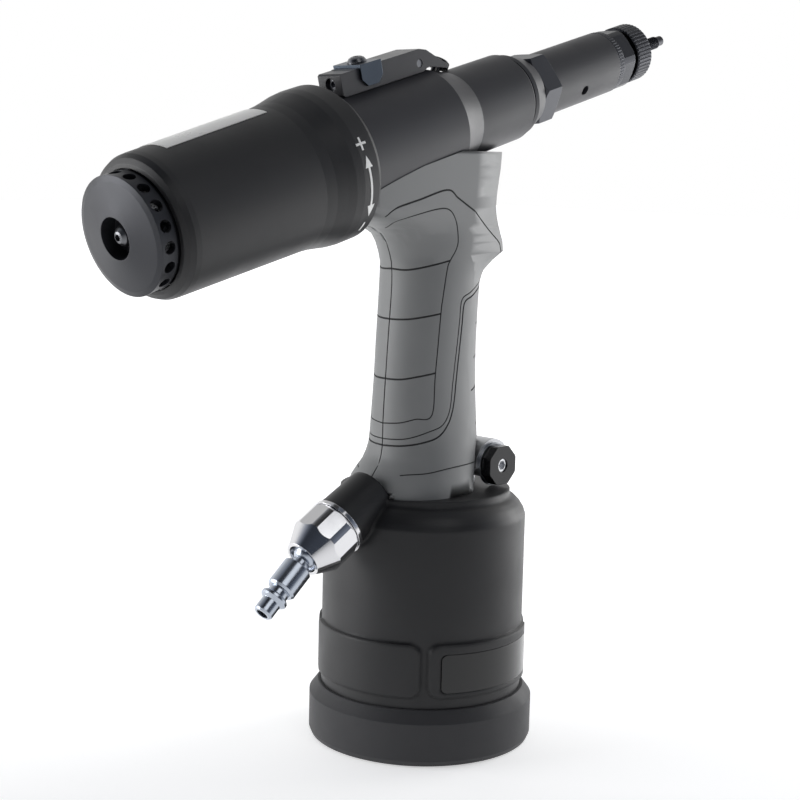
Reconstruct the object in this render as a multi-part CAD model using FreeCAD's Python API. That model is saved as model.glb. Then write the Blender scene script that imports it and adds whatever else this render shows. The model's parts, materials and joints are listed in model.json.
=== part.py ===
"""Pneumatic rivet-nut gun: pistol body, air cylinder base, air motor and pulling head.

Frame: origin at the centre of the underside, +Z up, nose towards +X, mirror plane y = 0.
Sizes are millimetres. Stations s run along the barrel axis from the point above the origin,
positive towards the nose; heights h are measured square to that axis.
"""
import FreeCAD, Part
import math
import os

V = FreeCAD.Vector
OUT = "parts"

# ---------------------------------------------------------------- driving dimensions
# Clearances
FIT = 0.1            # still parts that are pushed together
RUN = 0.05           # turning and sliding fits, on the radius
GAP = 0.4            # between covers and what they clear

# Whole tool
BARREL_HEIGHT = 267.0     # barrel axis above the floor, over the origin
BARREL_TILT = 15.4        # degrees, nose up

# Base
BOOT_WALL = 5.0
BOOT_HEIGHT = 24.0
BOOT_FLOOR = 5.0
CYLINDER_RADIUS = 44.0
CYLINDER_WALL = 6.0
SHOULDER_HEIGHT = 100.0   # where the straight side of the cylinder ends
PLATEAU_RADIUS = 36.9
BASE_TOP = 111.0
TOP_WALL = 15.0
PANEL_BOTTOM = 29.0
PANEL_TOP = 52.0
PANEL_RISE = 1.4
PANEL_SPAN = 84.0         # degrees round the cylinder
PLATE_THICKNESS = 0.5
COVER_THICKNESS = 5.0
RING_THICKNESS = 1.8
PISTON_THICKNESS = 12.0
SEAL_WIDTH = 4.0
RAM_RADIUS = 6.0
RAM_LENGTH = 128.0
RAM_STUD_RADIUS = 4.0
GLAND_RADIUS = 11.2

# Handle
GRIP_WALL = 2.6
CORE_RADIUS = 12.5
NECK_WALL = 3.0           # of the barrel body's socket round the core
CORE_FLANGE_RADIUS = 17.5
CORE_FLANGE_HEIGHT = 6.0
CORE_SCREW_CIRCLE = 14.2
CORE_SCREW_ANGLES = (50, 130, 230, 310)
TRIGGER_WIDTH = 11.0
TRIGGER_PROUD = 3.6       # how far the blade stands out of the front
TRIGGER_TRAVEL = 3.0      # at the valve stem
TRIGGER_PIN_RADIUS = 1.5
STEM_RADIUS = 2.0

# Barrel body, along the barrel
BODY_RADIUS = 24.0
BODY_REAR = -63.0
CONE_START = -4.8
CONE_END = 9.7
FRONT_RADIUS = 19.2
FRONT_END = 46.5
OIL_BORE_RADIUS = 15.0
OIL_BORE_REAR = -38.0
SPIGOT_RADIUS = 20.0
SPIGOT_REAR = -84.0

# Nose
GLAND_FLANGE = 2.6
GLAND_CONE = 7.0
GLAND_CONE_RADIUS = 15.6
SNOUT_RADIUS = 10.5
HEX_FLATS = 29.0
HEX_LENGTH = 11.0
SLEEVE_RADIUS = 14.2
SLEEVE_LENGTH = 46.0
SLEEVE_BORE = 11.4
NOSE_NUT_LENGTH = 13.0
ANVIL_RADIUS = 13.4
ANVIL_LENGTH = 11.0
MANDREL_RADIUS = 3.0      # M6 pulling mandrel
MANDREL_RELIEF = 0.5       # the shank inside the tool is this much thinner
MANDREL_PROUD = 25.5
TIP_RADIUS = 2.0

# Pulling piston and drive
PULL_STROKE = 7.0
PISTON_REAR = -14.0
HEAD_PISTON_LENGTH = 12.0
ROD_RADIUS = 8.0
STEM_END = -52.0
STEM_TUBE_RADIUS = 7.0
SPINDLE_RADIUS = 4.6
SPINDLE_FLATS = 7.0
COLLAR_LENGTH = 2.7
SPRING_COUNT = 8

# Rear housing and motor
HOUSING_FRONT = -64.5
HOUSING_REAR = -161.0
RING_RADIUS = 31.6
HOUSING_FRONT_RADIUS = 29.0
HOUSING_REAR_RADIUS = 27.7
CASING_RADIUS = 24.6
CASING_BORE = 21.8
CASING_REAR = -156.0
CAP_RADIUS = 22.7
CAP_LENGTH = 7.2
CAP_RECESS_RADIUS = 8.0
VENT_RADIUS = 2.4
VENT_COUNT = 18
STOP_TRAVEL = 2.0
LABEL_WIDTH = 16.0
LABEL_THICKNESS = 0.25
LINER_REAR = -147.0
LINER_FRONT = -110.0
LINER_BORE = 17.0
ROTOR_RADIUS = 14.8
ROTOR_OFFSET = 1.8
VANE_COUNT = 5
VANE_THICKNESS = 2.0
ROTOR_SHAFT_RADIUS = 4.0
BEARING_RADIUS = 8.0
BEARING_WIDTH = 4.0
PLATE_LENGTH = 6.0
GEAR_MODULE = 0.8
SUN_TEETH = 12
PLANET_TEETH = 18
PLANET_COUNT = 3
GEAR_WIDTH = 7.0
PRESSURE_ANGLE = 25.0     # degrees
BACKLASH = 0.16

# Top lever
LEVER_WIDTH = 13.0
LEVER_REAR = -55.5
LEVER_TOP = 33.0
LEVER_FRONT = 7.0
LEVER_PIN_S = -10.0
LEVER_PIN_H = 27.2
LEVER_PIN_RADIUS = 1.6
LEVER_BORE = 2.7
CLIP_THICKNESS = 1.2
REVERSE_RADIUS = 5.0
REVERSE_S = 13.0
REVERSE_Y = 4.5
REVERSE_H = 23.5
BUTTON_LEAN = 40.0        # degrees forward from square to the barrel
BUTTON_RADIUS = 4.0

# Air inlet, along its own axis from the barrel plane down to the rear
INLET_REACH = 8.5         # the swivel's seat stands this far beyond the cylinder
INLET_BOSS_DEPTH = 22.0   # of the part of the boss above the cylinder's top
INLET_Z = 100.8
INLET_FALL = 30.0         # degrees below level
INLET_RADIUS = 12.0
SWIVEL_RADIUS = 12.4
SWIVEL_LENGTH = 23.0
BALL_RADIUS = 6.2
PLUG_TILT = 10.0          # degrees, the plug hangs lower than the swivel
PLUG_RADIUS = 6.3
PLUG_THROAT = 2.6

# Relief valve beside the foot
RELIEF_X = 22.5
RELIEF_Z = 120.6
RELIEF_RADIUS = 11.0
RELIEF_FACE = -25.0
KNOB_RADIUS = 8.9
KNOB_LENGTH = 5.0

# ---------------------------------------------------------------- derived places
TILT = math.radians(BARREL_TILT)
CYLINDER_BORE = CYLINDER_RADIUS - CYLINDER_WALL
BOOT_RADIUS = CYLINDER_RADIUS + BOOT_WALL
INLET_X = -(CYLINDER_RADIUS + INLET_REACH)
BORE_TOP = BASE_TOP - TOP_WALL
COVER_BOTTOM = BOOT_FLOOR + 2.4 + RING_THICKNESS
PISTON_BOTTOM = COVER_BOTTOM + COVER_THICKNESS + 0.5
CORE_TOP = BARREL_HEIGHT - 29.0
NECK_BOTTOM = CORE_TOP - 9.0
GLAND_FRONT = FRONT_END + GLAND_FLANGE + GLAND_CONE
HEX_REAR = GLAND_FRONT + 0.6
SLEEVE_REAR = HEX_REAR + HEX_LENGTH
SLEEVE_FRONT = SLEEVE_REAR + SLEEVE_LENGTH
NUT_FRONT = SLEEVE_FRONT + NOSE_NUT_LENGTH
ANVIL_REAR = NUT_FRONT + 3.0
ANVIL_FRONT = ANVIL_REAR + ANVIL_LENGTH
MANDREL_TIP = ANVIL_FRONT + MANDREL_PROUD
HEAD_PISTON_FRONT = PISTON_REAR + HEAD_PISTON_LENGTH
ROD_FRONT = SLEEVE_REAR + 16.0
HOUSING_BORE = CASING_RADIUS + GAP
RING_FLOOR = CASING_BORE - FIT
CAP_FRONT = HOUSING_REAR - 1.0
CAP_REAR = CAP_FRONT - CAP_LENGTH
PLANET_ORBIT = GEAR_MODULE * (SUN_TEETH + PLANET_TEETH) / 2.0
RING_TEETH = SUN_TEETH + 2 * PLANET_TEETH
GEAR_REAR = LINER_FRONT + PLATE_LENGTH + 2.0
GEAR_FRONT = GEAR_REAR + GEAR_WIDTH
PIN_RADIUS = 2.0
RELIEF_SEAT = RELIEF_FACE + KNOB_LENGTH
FALL = math.radians(INLET_FALL)
INLET_AXIS = V(-math.cos(FALL), 0, -math.sin(FALL))


# ---------------------------------------------------------------- helpers
def face_of(points):
    """Flat face inside a closed outline."""
    return Part.Face(Part.makePolygon(points + [points[0]]))


def turned(profile):
    """Solid of revolution about X from (station, radius) points."""
    return face_of([V(s, 0, r) for s, r in profile]).revolve(V(0, 0, 0), V(1, 0, 0), 360)


def turned_z(profile):
    """Solid of revolution about Z from (radius, height) points."""
    return face_of([V(r, 0, z) for r, z in profile]).revolve(V(0, 0, 0), V(0, 0, 1), 360)


def rod(radius, start, end):
    """Cylinder between two points."""
    return Part.makeCylinder(radius, (end - start).Length, start, end - start)


def tube(outer, inner, s0, s1):
    """Round sleeve along X."""
    return rod(outer, V(s0, 0, 0), V(s1, 0, 0)).cut(rod(inner, V(s0 - 1, 0, 0), V(s1 + 1, 0, 0)))


def tube_z(outer, inner, z0, z1):
    """Round sleeve along Z."""
    return rod(outer, V(0, 0, z0), V(0, 0, z1)).cut(rod(inner, V(0, 0, z0 - 1), V(0, 0, z1 + 1)))


def box(x0, x1, y0, y1, z0, z1):
    """Block between two corners."""
    return Part.makeBox(x1 - x0, y1 - y0, z1 - z0, V(x0, y0, z0))


def hexagon(flats, s0, s1):
    """Hexagonal bar along X, a corner up."""
    corner = flats / math.sqrt(3)
    ring = [V(s0, corner * math.cos(math.radians(60 * k)), corner * math.sin(math.radians(60 * k)))
            for k in range(6)]
    return face_of(ring).extrude(V(s1 - s0, 0, 0))


def joined(shapes):
    """Fuse a list into one clean solid."""
    whole = shapes[0].multiFuse(shapes[1:]) if len(shapes) > 1 else shapes[0]
    return whole.removeSplitter()


def around(shape, count, axis, start=0.0):
    """Copies of a shape turned evenly about an axis through the origin."""
    copies = []
    for k in range(count):
        copy = shape.copy()
        copy.rotate(V(0, 0, 0), axis, start + 360.0 * k / count)
        copies.append(copy)
    return copies


def on_barrel(shape):
    """Put a shape made along X onto the tilted barrel axis."""
    placed = shape.copy()
    placed.rotate(V(0, 0, 0), V(0, 1, 0), -BARREL_TILT)
    placed.translate(V(0, 0, BARREL_HEIGHT))
    return placed


def on_inlet(shape, tilt=0.0):
    """Put a shape made along X onto the inlet axis, from the swivel seat outwards."""
    placed = shape.copy()
    placed.rotate(V(0, 0, 0), V(0, 1, 0), 180.0 - INLET_FALL - tilt)
    placed.translate(V(INLET_X, 0, INLET_Z))
    return placed


def save(name, shape):
    """Write one node."""
    solids = shape.Solids
    assert solids and shape.isValid(), name
    kept = solids[0] if len(solids) == 1 else Part.makeCompound(solids)
    kept.exportStep(os.path.join(OUT, name + ".step"))


# ---------------------------------------------------------------- base
def base_boot():
    """Rubber boot that the tool stands on."""
    inner = CYLINDER_RADIUS + FIT
    outer = BOOT_RADIUS
    profile = [(0, 0), (outer - 3, 0), (outer - 0.9, 0.9), (outer, 3), (outer, BOOT_HEIGHT - 5),
               (outer - 0.8, BOOT_HEIGHT - 4), (inner + 1.2, BOOT_HEIGHT), (inner, BOOT_HEIGHT),
               (inner, BOOT_FLOOR), (0, BOOT_FLOOR)]
    return turned_z(profile)


def panel_band(radius, z0, z1, centre, span, corner):
    """Curved plate on the cylinder with rounded corners, from the axis outwards."""
    wedge = rod(radius, V(0, 0, z0), V(0, 0, z1))
    half = radius * math.sin(math.radians(span / 2))
    window = box(-half, half, 0, 2 * radius, z0, z1)
    window = window.makeFillet(corner, [e for e in window.Edges
                                        if abs(e.Vertexes[0].Y - e.Vertexes[-1].Y) > radius])
    plate = wedge.common(window)
    plate.rotate(V(0, 0, 0), V(0, 0, 1), centre - 90)
    return plate


def inlet_boss(radius, back):
    """Boss that carries the air inlet, tapering slightly into the foot."""
    return on_inlet(turned([(0, 0), (0, radius), (-back, radius - 1.0), (-back, 0)]))


def power_cylinder():
    """Cast cylinder: shoulder, raised panels, plateau and the inlet boss."""
    run = CYLINDER_RADIUS - PLATEAU_RADIUS
    rise = BASE_TOP - 2.6 - SHOULDER_HEIGHT
    shell = turned_z([(0, BOOT_FLOOR), (CYLINDER_RADIUS, BOOT_FLOOR), (CYLINDER_RADIUS, SHOULDER_HEIGHT),
                      (CYLINDER_RADIUS - 0.12 * run, SHOULDER_HEIGHT + 0.3 * rise),
                      (CYLINDER_RADIUS - 0.35 * run, SHOULDER_HEIGHT + 0.6 * rise),
                      (CYLINDER_RADIUS - 0.65 * run, SHOULDER_HEIGHT + 0.85 * rise),
                      (PLATEAU_RADIUS, SHOULDER_HEIGHT + rise), (PLATEAU_RADIUS, BASE_TOP), (0, BASE_TOP)])
    panels = [panel_band(CYLINDER_RADIUS + PANEL_RISE, PANEL_BOTTOM, PANEL_TOP, 90 * k, PANEL_SPAN, 4.0)
              for k in range(4)]
    boss = inlet_boss(INLET_RADIUS, 30)
    boss = boss.common(box(-200, 0, -99, 99, 0, BASE_TOP))
    top_boss = inlet_boss(INLET_RADIUS, INLET_BOSS_DEPTH).common(box(-200, -27, -99, 99, BASE_TOP - 1, 400))
    body = joined([shell, boss, top_boss] + panels)
    body = body.cut(rod(CYLINDER_BORE, V(0, 0, COVER_BOTTOM), V(0, 0, BORE_TOP)))
    body = body.cut(rod(CYLINDER_BORE + 2, V(0, 0, BOOT_FLOOR), V(0, 0, COVER_BOTTOM + COVER_THICKNESS)))
    body = body.cut(rod(CYLINDER_BORE + 3.3, V(0, 0, COVER_BOTTOM - RING_THICKNESS), V(0, 0, COVER_BOTTOM)))
    body = body.cut(rod(GLAND_RADIUS, V(0, 0, BORE_TOP - 1), V(0, 0, BASE_TOP + 1)))
    for side in (-90, 90):
        recess = panel_band(CYLINDER_RADIUS + PANEL_RISE + 1, PANEL_BOTTOM + 2, PANEL_TOP - 4, side, 72, 2.5)
        body = body.cut(recess.cut(rod(CYLINDER_RADIUS + PANEL_RISE - PLATE_THICKNESS,
                                       V(0, 0, 0), V(0, 0, BASE_TOP))))
    body = body.cut(on_inlet(rod(5.0, V(-26, 0, 0), V(1, 0, 0))))
    return body.cut(core_screw_set(0.1))


def side_plates():
    """Blank name plates let into the side panels."""
    plates = []
    for side in (-90, 90):
        plate = panel_band(CYLINDER_RADIUS + PANEL_RISE, PANEL_BOTTOM + 2.2, PANEL_TOP - 4.2, side, 71.4, 2.3)
        plates.append(plate.cut(rod(CYLINDER_RADIUS + PANEL_RISE - PLATE_THICKNESS + 0.02,
                                    V(0, 0, 0), V(0, 0, BASE_TOP))))
    return Part.makeCompound(plates)


def cylinder_cover():
    """Bottom cover of the air cylinder."""
    top = COVER_BOTTOM + COVER_THICKNESS
    return turned_z([(0, COVER_BOTTOM), (CYLINDER_BORE + 2 - FIT, COVER_BOTTOM), (CYLINDER_BORE + 2 - FIT, top),
                     (12, top), (12, top - 1.5), (0, top - 1.5)])


def retaining_ring():
    """Spring ring that holds the cover."""
    ring = tube_z(CYLINDER_BORE + 3.2, CYLINDER_BORE - 1.5, COVER_BOTTOM - RING_THICKNESS, COVER_BOTTOM)
    return ring.cut(box(0, 60, -3, 3, 0, COVER_BOTTOM + 1))


def air_piston():
    """Large piston pushed up by air."""
    z0 = PISTON_BOTTOM
    z1 = z0 + PISTON_THICKNESS
    r = CYLINDER_BORE - RUN
    mid = (z0 + z1) / 2
    half = SEAL_WIDTH / 2
    bore = RAM_STUD_RADIUS + 0.02
    return turned_z([(bore, z0 + 6), (11, z0 + 6), (11, z0), (r - 1, z0), (r, z0 + 1), (r, mid - half),
                     (r - 3.5, mid - half), (r - 3.5, mid + half), (r, mid + half), (r, z1 - 1), (r - 1, z1),
                     (bore, z1)])


def piston_seal():
    """Seal ring in the air piston's groove."""
    mid = PISTON_BOTTOM + PISTON_THICKNESS / 2
    half = SEAL_WIDTH / 2 - FIT
    r = CYLINDER_BORE - RUN
    return tube_z(r, r - 3.4, mid - half, mid + half)


def ram_rod():
    """Hardened ram that the air piston drives into the oil bore."""
    z0 = PISTON_BOTTOM + 1
    shoulder = PISTON_BOTTOM + PISTON_THICKNESS
    top = z0 + RAM_LENGTH
    return turned_z([(0, z0), (RAM_STUD_RADIUS, z0), (RAM_STUD_RADIUS, shoulder), (RAM_RADIUS, shoulder),
                     (RAM_RADIUS, top - 1), (RAM_RADIUS - 1, top), (0, top)])


def piston_nut():
    """Nut that holds the piston on the ram."""
    nut = hexagon(13, 0, 4.5)
    nut.rotate(V(0, 0, 0), V(0, 1, 0), -90)
    nut.translate(V(0, 0, PISTON_BOTTOM + 1.5))
    return nut.cut(rod(RAM_STUD_RADIUS + 0.02, V(0, 0, 0), V(0, 0, PISTON_BOTTOM + 9)))


def rod_gland():
    """Bronze bush that guides the ram through the cylinder's top."""
    r = GLAND_RADIUS - FIT
    bore = RAM_RADIUS + RUN
    groove = BASE_TOP - 5
    return turned_z([(bore, BORE_TOP - 3), (r + 4, BORE_TOP - 3), (r + 4, BORE_TOP), (r, BORE_TOP), (r, BASE_TOP),
                     (bore, BASE_TOP), (bore, groove), (bore + 2.6, groove), (bore + 2.6, groove - 3),
                     (bore, groove - 3)])


def rod_seal():
    """Seal in the gland, on the ram."""
    bore = RAM_RADIUS + RUN
    return tube_z(bore + 2.5, bore, BASE_TOP - 7.9, BASE_TOP - 5.1)


# ---------------------------------------------------------------- handle
def core_screw_set(extra):
    """Socket screws that hold the core's flange, with room added for their holes."""
    screws = []
    for angle in CORE_SCREW_ANGLES:
        x = CORE_SCREW_CIRCLE * math.cos(math.radians(angle))
        y = CORE_SCREW_CIRCLE * math.sin(math.radians(angle))
        flange_top = BASE_TOP + CORE_FLANGE_HEIGHT
        shank = rod(2 + extra, V(x, y, flange_top - 1 - 14), V(x, y, flange_top + 0.01))
        head = rod(3.0 + extra, V(x, y, flange_top), V(x, y, flange_top + 3.5))
        screws.append(shank.fuse(head).removeSplitter())
    return Part.makeCompound(screws)


def core_screws():
    """Four screws, each with a hexagon socket."""
    sockets = []
    for angle in CORE_SCREW_ANGLES:
        socket = hexagon(2.5, 0, 2)
        socket.rotate(V(0, 0, 0), V(0, 1, 0), -90)
        socket.translate(V(CORE_SCREW_CIRCLE * math.cos(math.radians(angle)),
                           CORE_SCREW_CIRCLE * math.sin(math.radians(angle)), BASE_TOP + CORE_FLANGE_HEIGHT + 1.6))
        sockets.append(socket)
    return core_screw_set(0).cut(Part.makeCompound(sockets))


def handle_core():
    """Cast core: oil bore for the ram, flange on the plateau and relief valve boss."""
    flange_top = BASE_TOP + CORE_FLANGE_HEIGHT
    stem = rod(CORE_RADIUS, V(0, 0, BASE_TOP), V(0, 0, CORE_TOP))
    flange = rod(CORE_FLANGE_RADIUS, V(0, 0, BASE_TOP), V(0, 0, flange_top))
    root = box(0, RELIEF_X, -9, 9, BASE_TOP, RELIEF_Z + 6)
    boss = rod(RELIEF_RADIUS, V(RELIEF_X, 0, RELIEF_Z), V(RELIEF_X, RELIEF_SEAT + 1, RELIEF_Z))
    boss = boss.cut(box(-60, 60, -60, 60, 0, RELIEF_Z - 1))
    spigot = rod(6.5, V(RELIEF_X, 0, RELIEF_Z), V(RELIEF_X, RELIEF_SEAT + 1, RELIEF_Z))
    body = joined([stem, flange, root, boss, spigot])
    body = body.cut(rod(RAM_RADIUS + RUN, V(0, 0, BASE_TOP - 1), V(0, 0, CORE_TOP + 1)))
    body = body.cut(rod(3.1, V(RELIEF_X, RELIEF_SEAT - 1, RELIEF_Z), V(RELIEF_X, -4, RELIEF_Z)))
    body = body.cut(valve_block_seat())
    body = body.cut(Part.makeCompound(neck_pins()))
    return body.cut(core_screw_set(0.1))


def valve_block_seat():
    """Flat on the core for the trigger valve block."""
    return box(CORE_RADIUS - 1.5, CORE_RADIUS + 5, -20, 20, stem_height() - 9, stem_height() + 9)


def stem_height():
    """Height of the trigger valve stem."""
    return BARREL_HEIGHT - 42.0


def trigger_hinge():
    """Point of the trigger's pin."""
    return V(21.5, 0, BARREL_HEIGHT - 22.0)


# Grip outline: height, rear, front, half width, how far the prow's shape has taken over in
# front, and how square the skirt under the barrel is behind
def grip_stations():
    """Horizontal sections of the grip, from the foot to the barrel."""
    foot = BASE_TOP
    top = BARREL_HEIGHT
    neck = top - 67.0
    span = neck - (foot + 20)
    return [(foot, -36.0, 17.0, 26.3, 0.0, 0.0), (foot + 6, -34.6, 18.4, 24.6, 0.0, 0.0),
            (foot + 12.5, -29.3, 21.4, 22.6, 0.0, 0.0), (foot + 20, -27.3, 23.0, 20.2, 0.0, 0.0),
            (foot + 20 + 0.14 * span, -27.2, 23.2, 18.9, 0.0, 0.0),
            (foot + 20 + 0.38 * span, -26.4, 22.4, 17.9, 0.0, 0.0),
            (foot + 20 + 0.64 * span, -25.3, 21.9, 18.0, 0.0, 0.0),
            (foot + 20 + 0.86 * span, -24.2, 22.2, 18.2, 0.0, 0.0), (neck, -23.7, 22.9, 18.5, 0.1, 0.0),
            (top - 62.5, -23.8, 25.2, 18.8, 0.35, 0.0), (top - 58.3, -24.2, 30.0, 19.2, 0.7, 0.0),
            (top - 54.5, -25.4, 36.2, 19.7, 1.0, 0.0), (top - 50, -27.4, 35.6, 20.2, 1.0, 0.0),
            (top - 46.5, -30.2, 34.0, 20.6, 1.0, 0.0), (top - 43.7, -35.5, 32.8, 20.9, 1.0, 0.15),
            (top - 41.2, -45.0, 31.9, 21.2, 1.0, 0.4), (top - 38.8, -58.0, 31.2, 21.4, 1.0, 0.7),
            (top - 35, -76.0, 30.6, 21.7, 1.0, 1.0), (top - 27, -90.0, 31.4, 22.2, 1.0, 1.0),
            (top - 18, -94.0, 33.0, 22.6, 1.0, 1.0), (top - 8, -96.0, 33.6, 22.7, 1.0, 1.0)]


def half_outline(row, inset, rear):
    """Front, facet and rear runs of points round the near half (y < 0) of a section."""
    z, _, front, half_width, prow, skirt = row
    front = front - inset
    half_width = half_width - inset
    nose_half = 9.5 - 0.5 * inset
    facet = min(3.0, front - 8.0)
    centre = (rear + front) / 2
    depth = (front - rear) / 2
    power = 2 / 2.25

    def oval(angle):
        c = math.cos(math.radians(angle))
        s = math.sin(math.radians(angle))
        return (centre + depth * math.copysign(abs(c) ** power, c), -half_width * abs(s) ** power)

    def blend(angle, sharp):
        x, y = oval(angle)
        return V(x + prow * (sharp[0] - x), y + prow * (sharp[1] - y), z)

    front_run = [blend(26.0 * k / 4, (front, -nose_half * k / 4)) for k in range(5)]
    facet_run = [blend(26 + 44.0 * k / 4, (front + (facet - front) * k / 4,
                                          -nose_half - (half_width - nose_half) * k / 4)) for k in range(5)]
    rear_run = []
    for k in range(11):
        angle = 70 + 110.0 * k / 10
        turn = math.radians(90 + 90.0 * k / 10)
        long_half = facet - rear
        sharp = (facet - long_half * abs(math.cos(turn)) ** (0.95 - 0.23 * skirt),
                 -half_width * abs(math.sin(turn)) ** (0.95 - 0.5 * skirt))
        rear_run.append(blend(angle, sharp))
    return [front_run, facet_run, rear_run]


def rear_at(rows, z):
    """Rear of the grip's outside at a height."""
    for low, high in zip(rows, rows[1:]):
        if z <= high[0]:
            share = max(0.0, (z - low[0]) / (high[0] - low[0]))
            return low[1] + share * (high[1] - low[1])
    return rows[-1][1]


def inner_rear(rows, z):
    """Rear of the grip's inside: a wall's thickness from the outside, square to it."""
    drops = [GRIP_WALL * k / 6 for k in range(7)]
    return max(rear_at(rows, z - drop) + math.sqrt(GRIP_WALL ** 2 - drop ** 2) for drop in drops)


def wall_section(rows, row):
    """Closed section of the near half's wall: outside, parting edge, inside, parting edge."""
    outside = half_outline(row, 0, row[1])
    inside = half_outline(row, GRIP_WALL, inner_rear(rows, row[0]))
    inside = [list(reversed(run)) for run in reversed(inside)]
    edges = []
    for runs in (outside, inside):
        for run in runs:
            curve = Part.BSplineCurve()
            curve.interpolate(run)
            edges.append(curve.toShape())
    edges.insert(3, Part.makeLine(outside[-1][-1], inside[0][0]))
    edges.append(Part.makeLine(inside[-1][-1], outside[0][0]))
    return Part.Wire(edges)


def smooth_rows(rows, per_gap):
    """Rows with smoothly blended ones added in each gap."""
    last = len(rows) - 1
    blended = []
    for k in range(last):
        before, here, after, beyond = rows[max(k - 1, 0)], rows[k], rows[k + 1], rows[min(k + 2, last)]
        count = per_gap if after[0] - here[0] > 6.2 else 1
        for step in range(count):
            u = step / count
            row = [0.5 * (2 * b + (c - a) * u + (2 * a - 5 * b + 4 * c - d) * u ** 2
                          + (3 * b - a - 3 * c + d) * u ** 3)
                   for a, b, c, d in zip(before, here, after, beyond)]
            row[0] = here[0] + (after[0] - here[0]) * u
            blended.append(tuple(row))
    return blended + [rows[-1]]


def grip_shell():
    """Near half of the moulded grip."""
    rows = smooth_rows(grip_stations(), 2)
    shell = Part.makeLoft([wall_section(rows, row) for row in rows], True, True)
    shell = shell.cut(on_barrel(box(-120, 90, -60, 60, -9.5, 90)))
    shell = shell.cut(on_barrel(box(-120, HOUSING_FRONT + 1.8, -60, 60, -60, 60)))
    shell = shell.cut(on_barrel(rod(BODY_RADIUS + 0.3, V(-90, 0, 0), V(CONE_START, 0, 0))))
    shell = shell.cut(on_barrel(nose_clearance()))
    shell = shell.cut(box(-10, 60, -60, 60, BARREL_HEIGHT - 11.5, BARREL_HEIGHT + 60))
    shell = shell.cut(inlet_boss(INLET_RADIUS + GAP, INLET_BOSS_DEPTH + GAP))
    slot = TRIGGER_WIDTH / 2 + GAP
    shell = shell.cut(box(20, 60, -slot, 1, BARREL_HEIGHT - 54.5, BARREL_HEIGHT - 19.5))
    shell = shell.cut(rod(RELIEF_RADIUS + 2.2, V(RELIEF_X, -60, RELIEF_Z), V(RELIEF_X, 1, RELIEF_Z)))
    flange = rod(CORE_FLANGE_RADIUS + GAP, V(0, 0, BASE_TOP - 1), V(0, 0, BASE_TOP + CORE_FLANGE_HEIGHT + GAP))
    shell = shell.cut(flange)
    return max(shell.Solids, key=lambda solid: solid.Volume)


def nose_clearance():
    """Room in the grip for the barrel's cone and slimmer front."""
    body = BODY_RADIUS + 0.3
    front = FRONT_RADIUS + 0.5
    return turned([(CONE_START, 0), (CONE_START, body), (CONE_END, front), (FRONT_END + 40, front),
                   (FRONT_END + 40, 0)])


# ---------------------------------------------------------------- trigger and its valve
def trigger():
    """Trigger blade, hung from its pin."""
    hinge = trigger_hinge()
    t = BARREL_HEIGHT
    half = TRIGGER_WIDTH / 2
    front = 30.6 + TRIGGER_PROUD
    outline = [(hinge.x - 3.2, hinge.z + 1.5), (hinge.x + 1.0, hinge.z + 2.6), (front + 0.6, t - 20.6),
               (front - 0.4, t - 27), (front - 1.4, t - 35), (front - 0.8, t - 43), (front + 1.2, t - 50.5),
               (front - 2.2, t - 53.2), (front - 5.5, t - 50), (26.2, t - 47.5), (26.2, t - 32),
               (hinge.x - 2.6, hinge.z - 4)]
    blade = face_of([V(x, -half, z) for x, z in outline]).extrude(V(0, 2 * half, 0))
    return blade.cut(rod(TRIGGER_PIN_RADIUS + RUN, V(hinge.x, -20, hinge.z), V(hinge.x, 20, hinge.z)))


def trigger_pin():
    """Pin across the grip that carries the trigger."""
    hinge = trigger_hinge()
    return rod(TRIGGER_PIN_RADIUS, V(hinge.x, -9, hinge.z), V(hinge.x, 9, hinge.z))


def valve_block():
    """Valve block on the front of the core, with ears for the trigger pin."""
    z = stem_height()
    hinge = trigger_hinge()
    top = NECK_BOTTOM - GAP
    neck = CORE_RADIUS + NECK_WALL
    block = box(CORE_RADIUS - 1.5, CORE_RADIUS + 7.5, -8.5, 8.5, z - 8, top)
    ears = []
    for side in (-1, 1):
        y0, y1 = sorted((side * (TRIGGER_WIDTH / 2 + 0.3), side * 8.5))
        ears.append(box(neck + GAP, hinge.x + 3, y0, y1, z + 2, hinge.z + 3))
    body = joined([block] + ears)
    body = body.cut(rod(TRIGGER_PIN_RADIUS, V(hinge.x, -20, hinge.z), V(hinge.x, 20, hinge.z)))
    return body.cut(rod(STEM_RADIUS + RUN, V(0, 0, z), V(60, 0, z)))


def valve_stem():
    """Stem that the trigger pushes into the valve block."""
    z = stem_height()
    stem = rod(STEM_RADIUS, V(CORE_RADIUS - 1.5 + TRIGGER_TRAVEL + 0.8, 0, z), V(25.7, 0, z))
    return stem.fuse(rod(3.2, V(24.2, 0, z), V(25.9, 0, z))).removeSplitter()


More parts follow.
